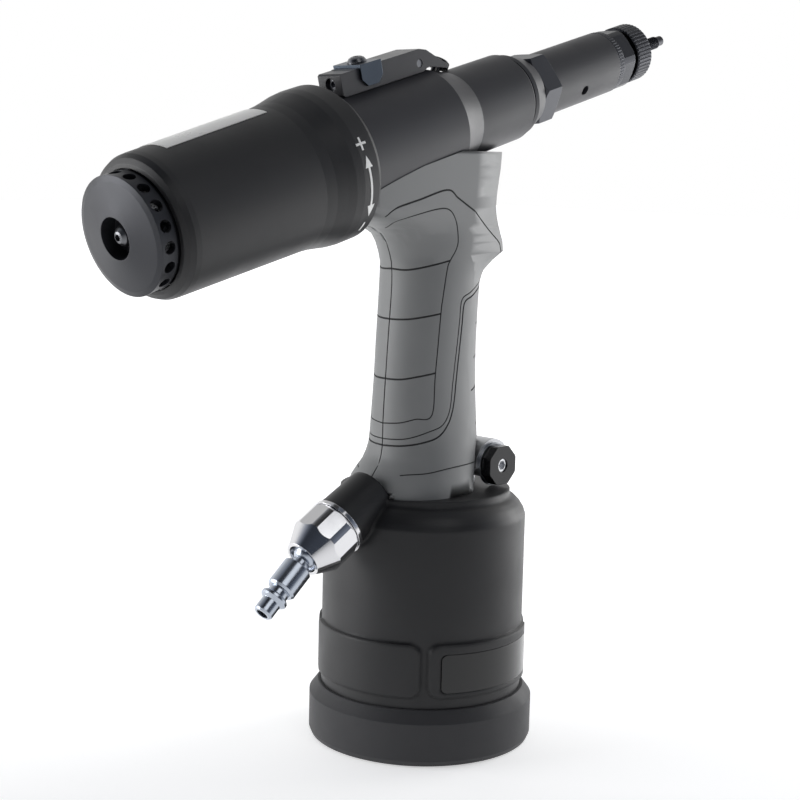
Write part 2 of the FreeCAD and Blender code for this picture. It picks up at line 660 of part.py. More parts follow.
# ---------------------------------------------------------------- barrel body and nose
def barrel_body():
    """Cast body: barrel, rear spigot, neck socket for the core and lever lug."""
    s0 = SPIGOT_REAR
    outer = turned([(s0, 0), (s0, SPIGOT_RADIUS), (BODY_REAR, SPIGOT_RADIUS), (BODY_REAR, BODY_RADIUS - 0.6),
                    (BODY_REAR + 0.6, BODY_RADIUS), (CONE_START, BODY_RADIUS), (CONE_END, FRONT_RADIUS),
                    (FRONT_END - 2.2, FRONT_RADIUS), (FRONT_END, FRONT_RADIUS - 1.6), (FRONT_END, 0)])
    body = on_barrel(outer)
    neck = rod(CORE_RADIUS + NECK_WALL, V(0, 0, NECK_BOTTOM), V(0, 0, BARREL_HEIGHT))
    lug = box(LEVER_PIN_S - 4, LEVER_PIN_S + 4, -2.5, 2.5, BODY_RADIUS - 3, LEVER_PIN_H + 3.2)
    body = joined([body, neck, on_barrel(lug)])
    bores = [rod(OIL_BORE_RADIUS, V(OIL_BORE_REAR, 0, 0), V(FRONT_END + 1, 0, 0)),
             rod(STEM_TUBE_RADIUS + RUN, V(OIL_BORE_REAR - 12.5, 0, 0), V(OIL_BORE_REAR + 1, 0, 0)),
             rod(13.0, V(s0 - 1, 0, 0), V(OIL_BORE_REAR - 12, 0, 0)),
             rod(LEVER_PIN_RADIUS, V(LEVER_PIN_S, -20, LEVER_PIN_H), V(LEVER_PIN_S, 20, LEVER_PIN_H)),
             on_button(rod(2.0 + RUN, V(-9.4, 0, 0), V(0, 0, 0))),
             on_button(rod(REVERSE_RADIUS + GAP, V(-3.9, 0, 0), V(9, 0, 0)))]
    slots = around(box(-81.0, -69.0, -3.2, 3.2, 10, 30), 3, V(1, 0, 0), 60)
    body = body.cut(on_barrel(Part.makeCompound(bores).fuse(slots)))
    body = body.cut(rod(CORE_RADIUS + FIT, V(0, 0, NECK_BOTTOM - 1), V(0, 0, CORE_TOP + 0.3)))
    body = body.cut(rod(2.2, V(5.0, 0, CORE_TOP - 1), V(5.0, 0, CORE_TOP + 16)))
    return body.cut(rod(1.5, V(0, -30, CORE_TOP - 4.5), V(0, 30, CORE_TOP - 4.5)))


def neck_pins():
    """Pins that lock the core in the neck, one on each side of the oil bore."""
    z = CORE_TOP - 4.5
    outer = CORE_RADIUS + NECK_WALL
    return [rod(1.5, V(0, side * (RAM_RADIUS + 2.5), z), V(0, side * outer, z)) for side in (-1, 1)]


def cross_pins():
    """Trigger pin and neck pins."""
    return Part.makeCompound(neck_pins() + [trigger_pin()])


def front_gland():
    """Screwed gland that closes the oil bore and carries the nose."""
    r = OIL_BORE_RADIUS - FIT
    bore = ROD_RADIUS + RUN
    flange = FRONT_END + GLAND_FLANGE
    rear = FRONT_END - 14
    return turned([(rear, bore), (rear, r), (FRONT_END, r), (FRONT_END, FRONT_RADIUS - 1.2),
                   (flange - 0.5, FRONT_RADIUS - 1.0), (flange, FRONT_RADIUS - 1.5), (GLAND_FRONT, GLAND_CONE_RADIUS),
                   (GLAND_FRONT, SNOUT_RADIUS), (SLEEVE_REAR + 12, SNOUT_RADIUS), (SLEEVE_REAR + 12, bore)])


def gland_seal():
    """Seal ring behind the gland, on the piston rod."""
    rear = FRONT_END - 17.5
    return tube(OIL_BORE_RADIUS - FIT, ROD_RADIUS + RUN, rear, FRONT_END - 14.1)


def hex_collar():
    """Hexagon lock nut behind the nose sleeve."""
    nut = hexagon(HEX_FLATS, HEX_REAR, HEX_REAR + HEX_LENGTH - 0.2)
    rim = GLAND_CONE_RADIUS + 0.4
    mid = HEX_REAR + HEX_LENGTH
    bevel = turned([(HEX_REAR, 0), (HEX_REAR, rim - 0.6), (HEX_REAR + 1.6, rim + 1.4), (mid - 1.2, rim + 1.4),
                    (mid, rim - 1.0), (mid, 0)])
    return nut.common(bevel).cut(rod(SNOUT_RADIUS + FIT, V(0, 0, 0), V(mid + 1, 0, 0)))


def nose_sleeve():
    """Nose casing with a sight hole."""
    sleeve = turned([(SLEEVE_REAR, SNOUT_RADIUS + FIT), (SLEEVE_REAR, SLEEVE_RADIUS), (SLEEVE_FRONT, SLEEVE_RADIUS),
                     (SLEEVE_FRONT, SLEEVE_BORE), (SLEEVE_REAR + 13, SLEEVE_BORE),
                     (SLEEVE_REAR + 13, SNOUT_RADIUS + FIT)])
    hole = rod(2.3, V(SLEEVE_REAR + 20, 0, 0), V(SLEEVE_REAR + 20, 0, -40))
    holes = around(hole, 2, V(1, 0, 0), -62)
    return sleeve.cut(holes[0]).cut(holes[1])


def nose_nut():
    """Lock nut with flats and a knurled front edge."""
    body = turned([(SLEEVE_FRONT + 0.2, ANVIL_RADIUS - 5), (SLEEVE_FRONT + 0.2, SLEEVE_RADIUS - 0.2),
                   (NUT_FRONT - 0.8, SLEEVE_RADIUS - 0.2), (NUT_FRONT, SLEEVE_RADIUS - 1.2),
                   (NUT_FRONT, ANVIL_RADIUS - 5)])
    flat = box(SLEEVE_FRONT + 4, NUT_FRONT + 1, -20, 20, SLEEVE_RADIUS - 1.4, 20)
    return body.cut(Part.makeCompound(around(flat, 6, V(1, 0, 0))))


def anvil():
    """Nosepiece: knurled disc with the bore for the mandrel."""
    bore = MANDREL_RADIUS + 0.15
    neck = ANVIL_RADIUS - 5 - FIT
    body = turned([(SLEEVE_FRONT - 4, bore), (SLEEVE_FRONT - 4, neck), (ANVIL_REAR, neck),
                   (ANVIL_REAR, ANVIL_RADIUS - 0.6), (ANVIL_REAR + 0.6, ANVIL_RADIUS),
                   (ANVIL_FRONT - 1, ANVIL_RADIUS), (ANVIL_FRONT, ANVIL_RADIUS - 1), (ANVIL_FRONT, bore)])
    notch = rod(0.45, V(ANVIL_REAR - 1, 0, ANVIL_RADIUS + 0.1), V(ANVIL_FRONT + 1, 0, ANVIL_RADIUS + 0.1))
    return body.cut(Part.makeCompound(around(notch, 48, V(1, 0, 0))))


# ---------------------------------------------------------------- pulling piston and spindle
def pull_piston():
    """Oil piston with its front rod and rear stem in one piece."""
    r = OIL_BORE_RADIUS - RUN
    mid = (PISTON_REAR + HEAD_PISTON_FRONT) / 2
    bore = SPINDLE_RADIUS + RUN
    return turned([(STEM_END, bore), (STEM_END, STEM_TUBE_RADIUS), (PISTON_REAR, STEM_TUBE_RADIUS), (PISTON_REAR, r),
                   (mid - 1.7, r), (mid - 1.7, r - 2.6), (mid + 1.7, r - 2.6), (mid + 1.7, r),
                   (HEAD_PISTON_FRONT, r), (HEAD_PISTON_FRONT, ROD_RADIUS), (ROD_FRONT, ROD_RADIUS),
                   (ROD_FRONT, bore)])


def pull_piston_seal():
    """Seal ring of the oil piston."""
    mid = (PISTON_REAR + HEAD_PISTON_FRONT) / 2
    r = OIL_BORE_RADIUS - RUN
    return tube(r, r - 2.5, mid - 1.6, mid + 1.6)


def return_springs():
    """Stack of disc springs that push the piston forward."""
    length = PISTON_REAR - OIL_BORE_REAR
    pitch = length / SPRING_COUNT
    inner = STEM_TUBE_RADIUS + 0.4
    outer = OIL_BORE_RADIUS - 0.5
    discs = []
    for k in range(SPRING_COUNT):
        a = OIL_BORE_REAR + k * pitch
        low, high = (a, a + pitch - 1.0) if k % 2 else (a + pitch - 1.0, a)
        discs.append(turned([(low, inner), (low + 1.0, inner), (high + 1.0, outer), (high, outer)]))
    return Part.makeCompound(discs)


def drive_spindle():
    """Turning spindle: hexagon tail, pulling collar, round shank and a head that holds the mandrel."""
    collar_front = STEM_END - 0.3
    collar_rear = collar_front - COLLAR_LENGTH
    tail = hexagon(SPINDLE_FLATS, STEM_END - 20, collar_front)
    shank = turned([(collar_rear, 0), (collar_rear, STEM_TUBE_RADIUS - 0.4), (collar_front, STEM_TUBE_RADIUS - 0.4),
                    (collar_front, SPINDLE_RADIUS), (ROD_FRONT + 0.2, SPINDLE_RADIUS),
                    (ROD_FRONT + 0.2, ROD_RADIUS - 0.5), (SLEEVE_FRONT - 14, ROD_RADIUS - 0.5),
                    (SLEEVE_FRONT - 13, ROD_RADIUS - 1.5), (SLEEVE_FRONT - 13, 0)])
    body = tail.fuse(shank).removeSplitter()
    return body.cut(rod(MANDREL_RADIUS - MANDREL_RELIEF + 0.04, V(SLEEVE_FRONT - 30, 0, 0), V(SLEEVE_FRONT, 0, 0)))


def mandrel():
    """Threaded pulling mandrel with a reduced pilot tip."""
    start = SLEEVE_FRONT - 29.8
    shank = MANDREL_RADIUS - MANDREL_RELIEF
    thread_end = ANVIL_FRONT + 0.5
    return turned([(start, 0), (start, shank), (thread_end, shank), (thread_end, MANDREL_RADIUS),
                   (MANDREL_TIP - 5, MANDREL_RADIUS),
                   (MANDREL_TIP - 4, TIP_RADIUS), (MANDREL_TIP - 0.5, TIP_RADIUS), (MANDREL_TIP, TIP_RADIUS - 0.5),
                   (MANDREL_TIP, 0)])


# ---------------------------------------------------------------- rear housing, stroke stop and motor
def rear_housing():
    """Turning rear housing that sets the stroke."""
    front = HOUSING_FRONT
    rear = HOUSING_REAR
    ring = RING_RADIUS
    slim = HOUSING_FRONT_RADIUS
    end = HOUSING_REAR_RADIUS
    bore = HOUSING_BORE
    return turned([(rear, CAP_RADIUS + 0.2), (rear + 0.2, end - 3.2), (rear + 1.4, end - 1.2), (rear + 3.6, end - 0.2),
                   (rear + 6, end), (front - 29, slim), (front - 24, slim + 0.5), (front - 19, ring - 1.2),
                   (front - 15, ring - 0.4), (front - 11, ring), (front - 3, ring), (front, ring - 2.2),
                   (front, SPIGOT_RADIUS + 0.3), (front - 3.5, SPIGOT_RADIUS + 0.3), (front - 3.5, bore),
                   (rear + 3.5, bore), (rear + 3.5, CAP_RADIUS + 0.2)])


def housing_radius(s):
    """Radius of the housing's long taper at a station."""
    slope = (HOUSING_FRONT_RADIUS - HOUSING_REAR_RADIUS) / (HOUSING_FRONT - 29 - HOUSING_REAR - 6)
    return HOUSING_REAR_RADIUS + slope * (s - HOUSING_REAR - 6)


def top_label():
    """Blank label on top of the housing."""
    s0 = HOUSING_REAR + 14
    s1 = HOUSING_FRONT - 33
    sheet = turned([(s0, housing_radius(s0) + 0.02), (s0, housing_radius(s0) + LABEL_THICKNESS),
                    (s1, housing_radius(s1) + LABEL_THICKNESS), (s1, housing_radius(s1) + 0.02)])
    return sheet.common(box(s0, s1, -LABEL_WIDTH / 2, LABEL_WIDTH / 2, 0, 60))


def stroke_stop():
    """Keyed ring that the housing's thread moves along to set the stroke."""
    s0 = -77.0
    s1 = -73.0
    ring = tube(HOUSING_BORE - RUN, SPIGOT_RADIUS + FIT, s0, s1)
    hub = tube(11.0, 9.0, s0, -61.3)
    tongues = around(box(s0, s1, -2.8, 2.8, 10, SPIGOT_RADIUS + 1), 3, V(1, 0, 0), 60)
    return joined([ring, hub] + tongues)


def motor_casing():
    """Tube that holds the motor, closed at the front by its collar on the spigot."""
    front = SPIGOT_REAR
    return turned([(CASING_REAR, CASING_BORE), (CASING_REAR, CASING_RADIUS), (front, CASING_RADIUS), (front, 13.0),
                   (front - 3, 13.0), (front - 3, CASING_BORE)])


def exhaust_cap():
    """End cap with a ring of exhaust holes and a recess for its screw."""
    rear = CAP_REAR
    front = CAP_FRONT
    neck = CASING_BORE - FIT
    plate = LINER_REAR - PLATE_LENGTH - 0.3
    floor = rear + 4.0
    body = turned([(rear + 0.3, CAP_RADIUS), (front, CAP_RADIUS), (front, neck), (plate, neck),
                   (plate, neck - 2.2), (rear + 2.6, neck - 2.2), (rear + 2.6, CAP_RECESS_RADIUS + 2),
                   (floor + 1.8, CAP_RECESS_RADIUS + 2), (floor + 1.8, 2.3), (floor, 2.3),
                   (floor, CAP_RECESS_RADIUS), (rear - 2.6, CAP_RECESS_RADIUS), (rear - 0.5, CAP_RADIUS - 2.2)])
    mid = (rear + front) / 2 + 0.2
    vent = rod(VENT_RADIUS, V(mid, 0, CASING_BORE - 4), V(mid, 0, CAP_RADIUS + 2))
    return body.cut(Part.makeCompound(around(vent, VENT_COUNT, V(1, 0, 0))))


def cap_screw():
    """Domed steel screw that holds the cap."""
    floor = CAP_REAR + 4.0
    head = turned([(floor, 0), (floor, 4.3), (floor - 2.2, 4.2), (floor - 4.0, 3.4), (floor - 5.2, 2.2),
                   (floor - 5.6, 1.0), (floor - 5.6, 0)])
    shank = rod(2.0, V(floor - 0.5, 0, 0), V(floor + 8, 0, 0))
    return head.fuse(shank).removeSplitter().cut(hexagon(2.5, floor - 6, floor - 3))


def motor_rear_plate():
    """Rear bearing plate with the boss for the cap's screw."""
    rear = LINER_REAR - PLATE_LENGTH
    boss = CAP_REAR + 6.0
    return turned([(boss, 2.05), (boss, 6), (rear, 6), (rear, RING_FLOOR), (LINER_REAR, RING_FLOOR),
                   (LINER_REAR, BEARING_RADIUS + 0.02), (LINER_REAR - BEARING_WIDTH - 0.5, BEARING_RADIUS + 0.02),
                   (LINER_REAR - BEARING_WIDTH - 0.5, 2.05)])


def motor_front_plate():
    """Front bearing plate between the motor and the gears."""
    front = LINER_FRONT + PLATE_LENGTH
    return turned([(LINER_FRONT, BEARING_RADIUS + 0.02), (LINER_FRONT, RING_FLOOR), (front, RING_FLOOR),
                   (front, ROTOR_SHAFT_RADIUS + 1), (LINER_FRONT + BEARING_WIDTH + 0.5, ROTOR_SHAFT_RADIUS + 1),
                   (LINER_FRONT + BEARING_WIDTH + 0.5, BEARING_RADIUS + 0.02)])


def shaft_bearings():
    """Two shielded bearings on the rotor's shaft, and the bush of the carrier's boss."""
    rings = []
    for s0 in (LINER_REAR - BEARING_WIDTH - 0.3, LINER_FRONT + 0.3):
        s1 = s0 + BEARING_WIDTH
        r0 = ROTOR_SHAFT_RADIUS + RUN
        r1 = BEARING_RADIUS
        rings.append(turned([(s0, r0), (s0, r0 + 1.2), (s0 + 0.5, r0 + 1.2), (s0 + 0.5, r1 - 1.2), (s0, r1 - 1.2),
                             (s0, r1), (s1, r1), (s1, r1 - 1.2), (s1 - 0.5, r1 - 1.2), (s1 - 0.5, r0 + 1.2),
                             (s1, r0 + 1.2), (s1, r0)]))
    rings.append(tube(13.0 - FIT, 8.0 + RUN, SPIGOT_REAR, SPIGOT_REAR + 4.5))
    return Part.makeCompound(rings)


def motor_liner():
    """Motor cylinder with the bore set off centre."""
    liner = rod(RING_FLOOR, V(LINER_REAR, 0, 0), V(LINER_FRONT, 0, 0))
    liner = liner.cut(rod(LINER_BORE, V(LINER_REAR - 1, 0, ROTOR_OFFSET), V(LINER_FRONT + 1, 0, ROTOR_OFFSET)))
    ports = [box(s, s + 3, -2, 2, -40, -5) for s in (-142, -134, -126, -118)]
    return liner.cut(Part.makeCompound(ports))


def vane_blank(inner, outer, half, s0, s1):
    """One flat blade standing on the rotor's axis."""
    return box(s0, s1, -half, half, inner, outer)


def motor_rotor():
    """Slotted rotor on its shaft."""
    s0 = LINER_REAR + 0.4
    s1 = LINER_FRONT - 0.4
    body = joined([rod(ROTOR_RADIUS, V(s0, 0, 0), V(s1, 0, 0)),
                   rod(ROTOR_SHAFT_RADIUS, V(LINER_REAR - BEARING_WIDTH - 0.2, 0, 0), V(GEAR_REAR - 0.4, 0, 0))])
    slot = vane_blank(6.0, ROTOR_RADIUS + 2, VANE_THICKNESS / 2 + RUN, s0 - 1, s1 + 1)
    return body.cut(Part.makeCompound(around(slot, VANE_COUNT, V(1, 0, 0))))


def rotor_vanes():
    """Vanes, drawn in their slots."""
    blade = vane_blank(6.3, ROTOR_RADIUS - 0.2, VANE_THICKNESS / 2, LINER_REAR + 0.6, LINER_FRONT - 0.6)
    return Part.makeCompound(around(blade, VANE_COUNT, V(1, 0, 0)))


def involute(angle):
    """Involute function of an angle in radians."""
    return math.tan(angle) - angle


def tooth_half_angle(teeth, radius, play):
    """Half the angle that a tooth fills at a radius, less half the play."""
    pitch_radius = GEAR_MODULE * teeth / 2
    base = pitch_radius * math.cos(math.radians(PRESSURE_ANGLE))
    at_pitch = math.pi / (2 * teeth) - play / (2 * pitch_radius)
    here = math.acos(min(1.0, base / radius))
    return at_pitch + involute(math.radians(PRESSURE_ANGLE)) - involute(here)


def gear_disc(teeth, tip, root, play, s0, s1, phase):
    """Toothed disc along X, a tooth centred at the phase angle in degrees."""
    pitch_radius = GEAR_MODULE * teeth / 2
    base = pitch_radius * math.cos(math.radians(PRESSURE_ANGLE))
    low = max(root, base)
    radii = [root] + [low + (tip - low) * k / 4 for k in range(5)] if low > root else [
        root + (tip - root) * k / 4 for k in range(5)]
    points = []
    for k in range(teeth):
        middle = math.radians(phase) + 2 * math.pi * k / teeth
        halves = [tooth_half_angle(teeth, max(r, base), play) for r in radii]
        for r, half in zip(radii, halves):
            points.append(V(s0, r * math.cos(middle - half), r * math.sin(middle - half)))
        for r, half in reversed(list(zip(radii, halves))):
            points.append(V(s0, r * math.cos(middle + half), r * math.sin(middle + half)))
    return face_of(points).extrude(V(s1 - s0, 0, 0))


def addendum():
    """Height of a stub tooth over the pitch circle."""
    return 0.72 * GEAR_MODULE


def sun_pinion():
    """Pinion on the front of the rotor's shaft."""
    pitch = GEAR_MODULE * SUN_TEETH / 2
    return gear_disc(SUN_TEETH, pitch + addendum(), pitch - addendum() - 0.25, BACKLASH, GEAR_REAR - 0.4, GEAR_FRONT, 0)


def planet_gear(index):
    """One planet gear on its carrier pin."""
    pitch = GEAR_MODULE * PLANET_TEETH / 2
    angle = 360.0 * index / PLANET_COUNT
    gear = gear_disc(PLANET_TEETH, pitch + addendum(), pitch - addendum() - 0.2, BACKLASH, GEAR_REAR + 0.2,
                     GEAR_FRONT - 0.2, angle + 180.0 / PLANET_TEETH)
    gear = gear.cut(rod(PIN_RADIUS + RUN, V(GEAR_REAR - 1, 0, 0), V(GEAR_FRONT + 1, 0, 0)))
    gear.translate(V(0, PLANET_ORBIT * math.cos(math.radians(angle)), PLANET_ORBIT * math.sin(math.radians(angle))))
    return gear


def ring_gear():
    """Fixed ring gear in the casing."""
    pitch = GEAR_MODULE * RING_TEETH / 2
    blank = rod(RING_FLOOR, V(GEAR_REAR - 2, 0, 0), V(GEAR_FRONT + 2.5, 0, 0))
    space = gear_disc(RING_TEETH, pitch + addendum() + 0.2, pitch - addendum(), -BACKLASH, GEAR_REAR - 3,
                      GEAR_FRONT + 4, 180.0 / RING_TEETH)
    return blank.cut(space)


def planet_carrier():
    """Carrier plate with three pins and the socket that turns the spindle."""
    plate_rear = GEAR_FRONT + 0.3
    plate_front = plate_rear + 4.5
    boss_front = STEM_END - 12.0
    body = [rod(16.0, V(plate_rear, 0, 0), V(plate_front, 0, 0)),
            rod(8.0, V(plate_rear, 0, 0), V(boss_front, 0, 0))]
    pin = rod(PIN_RADIUS, V(GEAR_REAR, PLANET_ORBIT, 0), V(plate_front, PLANET_ORBIT, 0))
    body = joined(body + around(pin, PLANET_COUNT, V(1, 0, 0)))
    socket = hexagon(SPINDLE_FLATS + 0.5, STEM_END - 30, boss_front + 1)
    return body.cut(socket)


# ---------------------------------------------------------------- lever on top
def lever_arm():
    """Rocker lever: square rear block, straight back and sloping front."""
    half = LEVER_WIDTH / 2
    rear = LEVER_REAR
    top = LEVER_TOP
    seat = BODY_RADIUS - 0.7
    profile = [(rear, seat + 1.2), (rear, top - 0.9), (rear + 0.8, top - 0.2), (rear + 8, top - 0.2),
               (rear + 8, top), (LEVER_PIN_S + 1, top), (LEVER_PIN_S + 5, top - 1.2), (LEVER_PIN_S + 9, top - 4.2),
               (LEVER_FRONT, BODY_RADIUS - 0.9), (LEVER_FRONT - 0.8, BODY_RADIUS - 2.2), (CONE_START, BODY_RADIUS + 0.9),
               (CONE_START - 4, seat), (rear + 1.2, seat)]
    arm = face_of([V(s, -half, h) for s, h in profile]).extrude(V(0, LEVER_WIDTH, 0))
    arm = arm.cut(rod(BODY_RADIUS + 0.3, V(-80, 0, 0), V(CONE_START, 0, 0)))
    room = turned([(CONE_START, 0), (CONE_START, BODY_RADIUS + 0.3), (CONE_START + 1, BODY_RADIUS + 1.4),
                   (CONE_END, FRONT_RADIUS + 2.4), (CONE_END, 0)])
    arm = arm.cut(room)
    arm = arm.cut(box(LEVER_PIN_S - 4.6, LEVER_PIN_S + 4.6, -2.8, 2.8, 0, LEVER_PIN_H + 3.8))
    arm = arm.cut(rod(LEVER_PIN_RADIUS + RUN, V(LEVER_PIN_S, -20, LEVER_PIN_H), V(LEVER_PIN_S, 20, LEVER_PIN_H)))
    arm = arm.cut(rod(LEVER_BORE, V(rear - 1, 0, top - 4.4), V(rear + 12, 0, top - 4.4)))
    return arm.cut(rod(1.6, V(clip_middle(), 0, top - 4), V(clip_middle(), 0, top + 3)))


def clip_middle():
    """Station of the clip's screw."""
    return LEVER_REAR + 16.5


def lever_pin():
    """Pin through the lever and the lug."""
    half = LEVER_WIDTH / 2 - 0.3
    return rod(LEVER_PIN_RADIUS, V(LEVER_PIN_S, -half, LEVER_PIN_H), V(LEVER_PIN_S, half, LEVER_PIN_H))


def lever_clip():
    """Bent sheet saddle over the lever."""
    half = LEVER_WIDTH / 2
    s0 = clip_middle() - 6
    s1 = clip_middle() + 6
    top = LEVER_TOP
    skirt = 7.8
    outer = box(s0, s1, -half - CLIP_THICKNESS, half + CLIP_THICKNESS, top - skirt, top + CLIP_THICKNESS)
    saddle = outer.cut(box(s0 - 1, s1 + 1, -half, half, top - skirt - 1, top))
    for s, away in ((s0, 1), (s1, -1)):
        corner = face_of([V(s, -20, top - skirt), V(s + 3 * away, -20, top - skirt), V(s, -20, top - skirt + 3)])
        saddle = saddle.cut(corner.extrude(V(0, 40, 0)))
    return saddle.cut(rod(2.0, V(clip_middle(), 0, top - 2), V(clip_middle(), 0, top + 4)))


def button_screw():
    """Button-head screw through the clip."""
    s = clip_middle()
    base = LEVER_TOP + CLIP_THICKNESS
    head = turned_z([(0, base), (BUTTON_RADIUS, base), (BUTTON_RADIUS, base + 0.5), (BUTTON_RADIUS - 0.8, base + 1.7),
                     (BUTTON_RADIUS - 2.0, base + 2.3), (0, base + 2.3)])
    head.translate(V(s, 0, 0))
    socket = hexagon(2.5, 0, 3)
    socket.rotate(V(0, 0, 0), V(0, 1, 0), -90)
    socket.translate(V(s, 0, base + 1.0))
    return head.fuse(rod(1.55, V(s, 0, LEVER_TOP - 3.8), V(s, 0, base + 0.5))).removeSplitter().cut(socket)


def lever_set_screw():
    """Socket set screw in the lever's rear bore."""
    s0 = LEVER_REAR + 1.6
    h = LEVER_TOP - 4.4
    body = rod(LEVER_BORE - 0.02, V(s0, 0, h), V(s0 + 8, 0, h))
    socket = hexagon(2.5, s0 - 1, s0 + 2)
    socket.translate(V(0, 0, h))
    return body.cut(socket)


def on_button(shape):
    """Put a shape made along X on the button's axis, which leans forward from the barrel."""
    placed = shape.copy()
    placed.rotate(V(0, 0, 0), V(0, 1, 0), BUTTON_LEAN - 90)
    placed.translate(V(REVERSE_S, REVERSE_Y, REVERSE_H))
    return placed


def reverse_button():
    """Round push button on a stem, in the body in front of the lever."""
    return on_button(turned([(0, 0), (0, REVERSE_RADIUS - 0.4), (-0.4, REVERSE_RADIUS), (-2.4, REVERSE_RADIUS),
                             (-2.4, 2.0), (-8.0, 2.0), (-8.0, 0)]))


# ---------------------------------------------------------------- air inlet
def inlet_washer():
    """Polished ring between the boss and the swivel."""
    return on_inlet(tube(SWIVEL_RADIUS + 0.5, 6.4, 0.0, 1.8))


def swivel_body():
    """Eight-sided swivel with a socket for the ball."""
    start = 2.0
    end = SWIVEL_LENGTH
    ring = []
    for k in range(8):
        angle = math.radians(22.5 + 45 * k)
        corner = SWIVEL_RADIUS / math.cos(math.radians(22.5))
        ring.append(V(start, corner * math.cos(angle), corner * math.sin(angle)))
    bar = face_of(ring).extrude(V(end - start, 0, 0))
    round_off = turned([(start, 0), (start, SWIVEL_RADIUS - 0.1), (start + 1.2, SWIVEL_RADIUS + 0.5),
                        (end - 9, SWIVEL_RADIUS + 0.5), (end, BALL_RADIUS + 1.9), (end, 0)])
    body = bar.common(round_off)
    spigot = rod(4.9, V(-20, 0, 0), V(start + 1, 0, 0))
    body = body.fuse(spigot).removeSplitter()
    centre = ball_station()
    body = body.cut(Part.makeSphere(BALL_RADIUS + RUN, V(centre, 0, 0)))
    body = body.cut(turned([(centre, 0), (centre, BALL_RADIUS + RUN), (centre + 1.2, BALL_RADIUS + RUN),
                            (end + 0.1, BALL_RADIUS + 0.6), (end + 0.1, 0)]))
    return on_inlet(body.cut(rod(PLUG_THROAT, V(-21, 0, 0), V(centre, 0, 0))))


def ball_station():
    """Ball centre, along the inlet axis from the seat."""
    return SWIVEL_LENGTH - 4.2


def plug_frame(shape):
    """Turn a shape made along X about the ball, and put it on the inlet."""
    turned_shape = shape.copy()
    centre = V(ball_station(), 0, 0)
    turned_shape.rotate(centre, V(0, 1, 0), -PLUG_TILT)
    return on_inlet(turned_shape)


def air_plug():
    """Quick plug on the ball: neck, collar, groove, flange and tip."""
    c = ball_station()
    r = PLUG_RADIUS
    profile = [(c, 0), (c + 4, 3.6), (c + 7.5, 3.6), (c + 7.9, r - 0.4), (c + 8.3, r), (c + 19.6, r), (c + 20.6, r - 0.8),
               (c + 20.6, 4.4), (c + 23.4, 4.4), (c + 23.4, r - 0.9), (c + 24.0, r - 0.4), (c + 25.2, r - 0.4),
               (c + 25.8, r - 1.0), (c + 26.6, 4.2), (c + 32.0, 4.2), (c + 32.8, 3.5), (c + 32.8, 0)]
    body = turned(profile).fuse(Part.makeSphere(BALL_RADIUS, V(c, 0, 0))).removeSplitter()
    return plug_frame(body.cut(rod(PLUG_THROAT, V(c - 10, 0, 0), V(c + 40, 0, 0))))


# ---------------------------------------------------------------- relief valve
def relief_washer():
    """Bright washer under the relief knob."""
    y = RELIEF_SEAT
    ring = rod(KNOB_RADIUS + 0.5, V(RELIEF_X, y, RELIEF_Z), V(RELIEF_X, y + 1.0, RELIEF_Z))
    return ring.cut(rod(3.2, V(RELIEF_X, y - 1, RELIEF_Z), V(RELIEF_X, y + 2, RELIEF_Z)))


def relief_knob():
    """Black knob of the relief valve, with flats round its edge and a central bore."""
    y0 = RELIEF_FACE
    y1 = RELIEF_SEAT - 0.3
    knob = rod(KNOB_RADIUS, V(RELIEF_X, y0, RELIEF_Z), V(RELIEF_X, y1, RELIEF_Z))
    for k in range(8):
        cutter = box(-20, 20, y0 - 1, y1 + 1, KNOB_RADIUS - 0.5, 20)
        cutter.rotate(V(0, 0, 0), V(0, 1, 0), 45 * k)
        cutter.translate(V(RELIEF_X, 0, RELIEF_Z))
        knob = knob.cut(cutter)
    return knob.cut(rod(3.0, V(RELIEF_X, y0 - 1, RELIEF_Z), V(RELIEF_X, y1 + 1, RELIEF_Z)))


def relief_screw():
    """Bright socket screw through the knob into the boss."""
    y0 = RELIEF_FACE + 0.6
    body = rod(2.96, V(RELIEF_X, y0, RELIEF_Z), V(RELIEF_X, -6, RELIEF_Z))
    socket = hexagon(3.6, 0, 3.5)
    socket.rotate(V(0, 0, 0), V(0, 0, 1), 90)
    socket.translate(V(RELIEF_X, y0, RELIEF_Z))
    return body.cut(socket)


# ---------------------------------------------------------------- write the nodes
def upright_nodes():
    """Nodes of the base, handle, inlet and relief valve, already in place."""
    shell = grip_shell()
    return {
        "base_boot": base_boot(), "power_cylinder": power_cylinder(), "side_plates": side_plates(),
        "cylinder_cover": cylinder_cover(), "retaining_ring": retaining_ring(), "air_piston": air_piston(),
        "piston_seal": piston_seal(), "ram_rod": ram_rod(), "piston_nut": piston_nut(), "rod_gland": rod_gland(),
        "core_screws": core_screws(), "handle_core": handle_core(), "grip_shell_left": shell,
        "grip_shell_right": shell.mirror(V(0, 0, 0), V(0, 1, 0)), "trigger": trigger(),
        "valve_block": valve_block(), "valve_stem": valve_stem(),
        "cross_pins": cross_pins(), "barrel_body": barrel_body(), "inlet_washer": inlet_washer(),
        "swivel_body": swivel_body(), "air_plug": air_plug(), "relief_washer": relief_washer(),
        "relief_knob": relief_knob(), "relief_screw": relief_screw()}


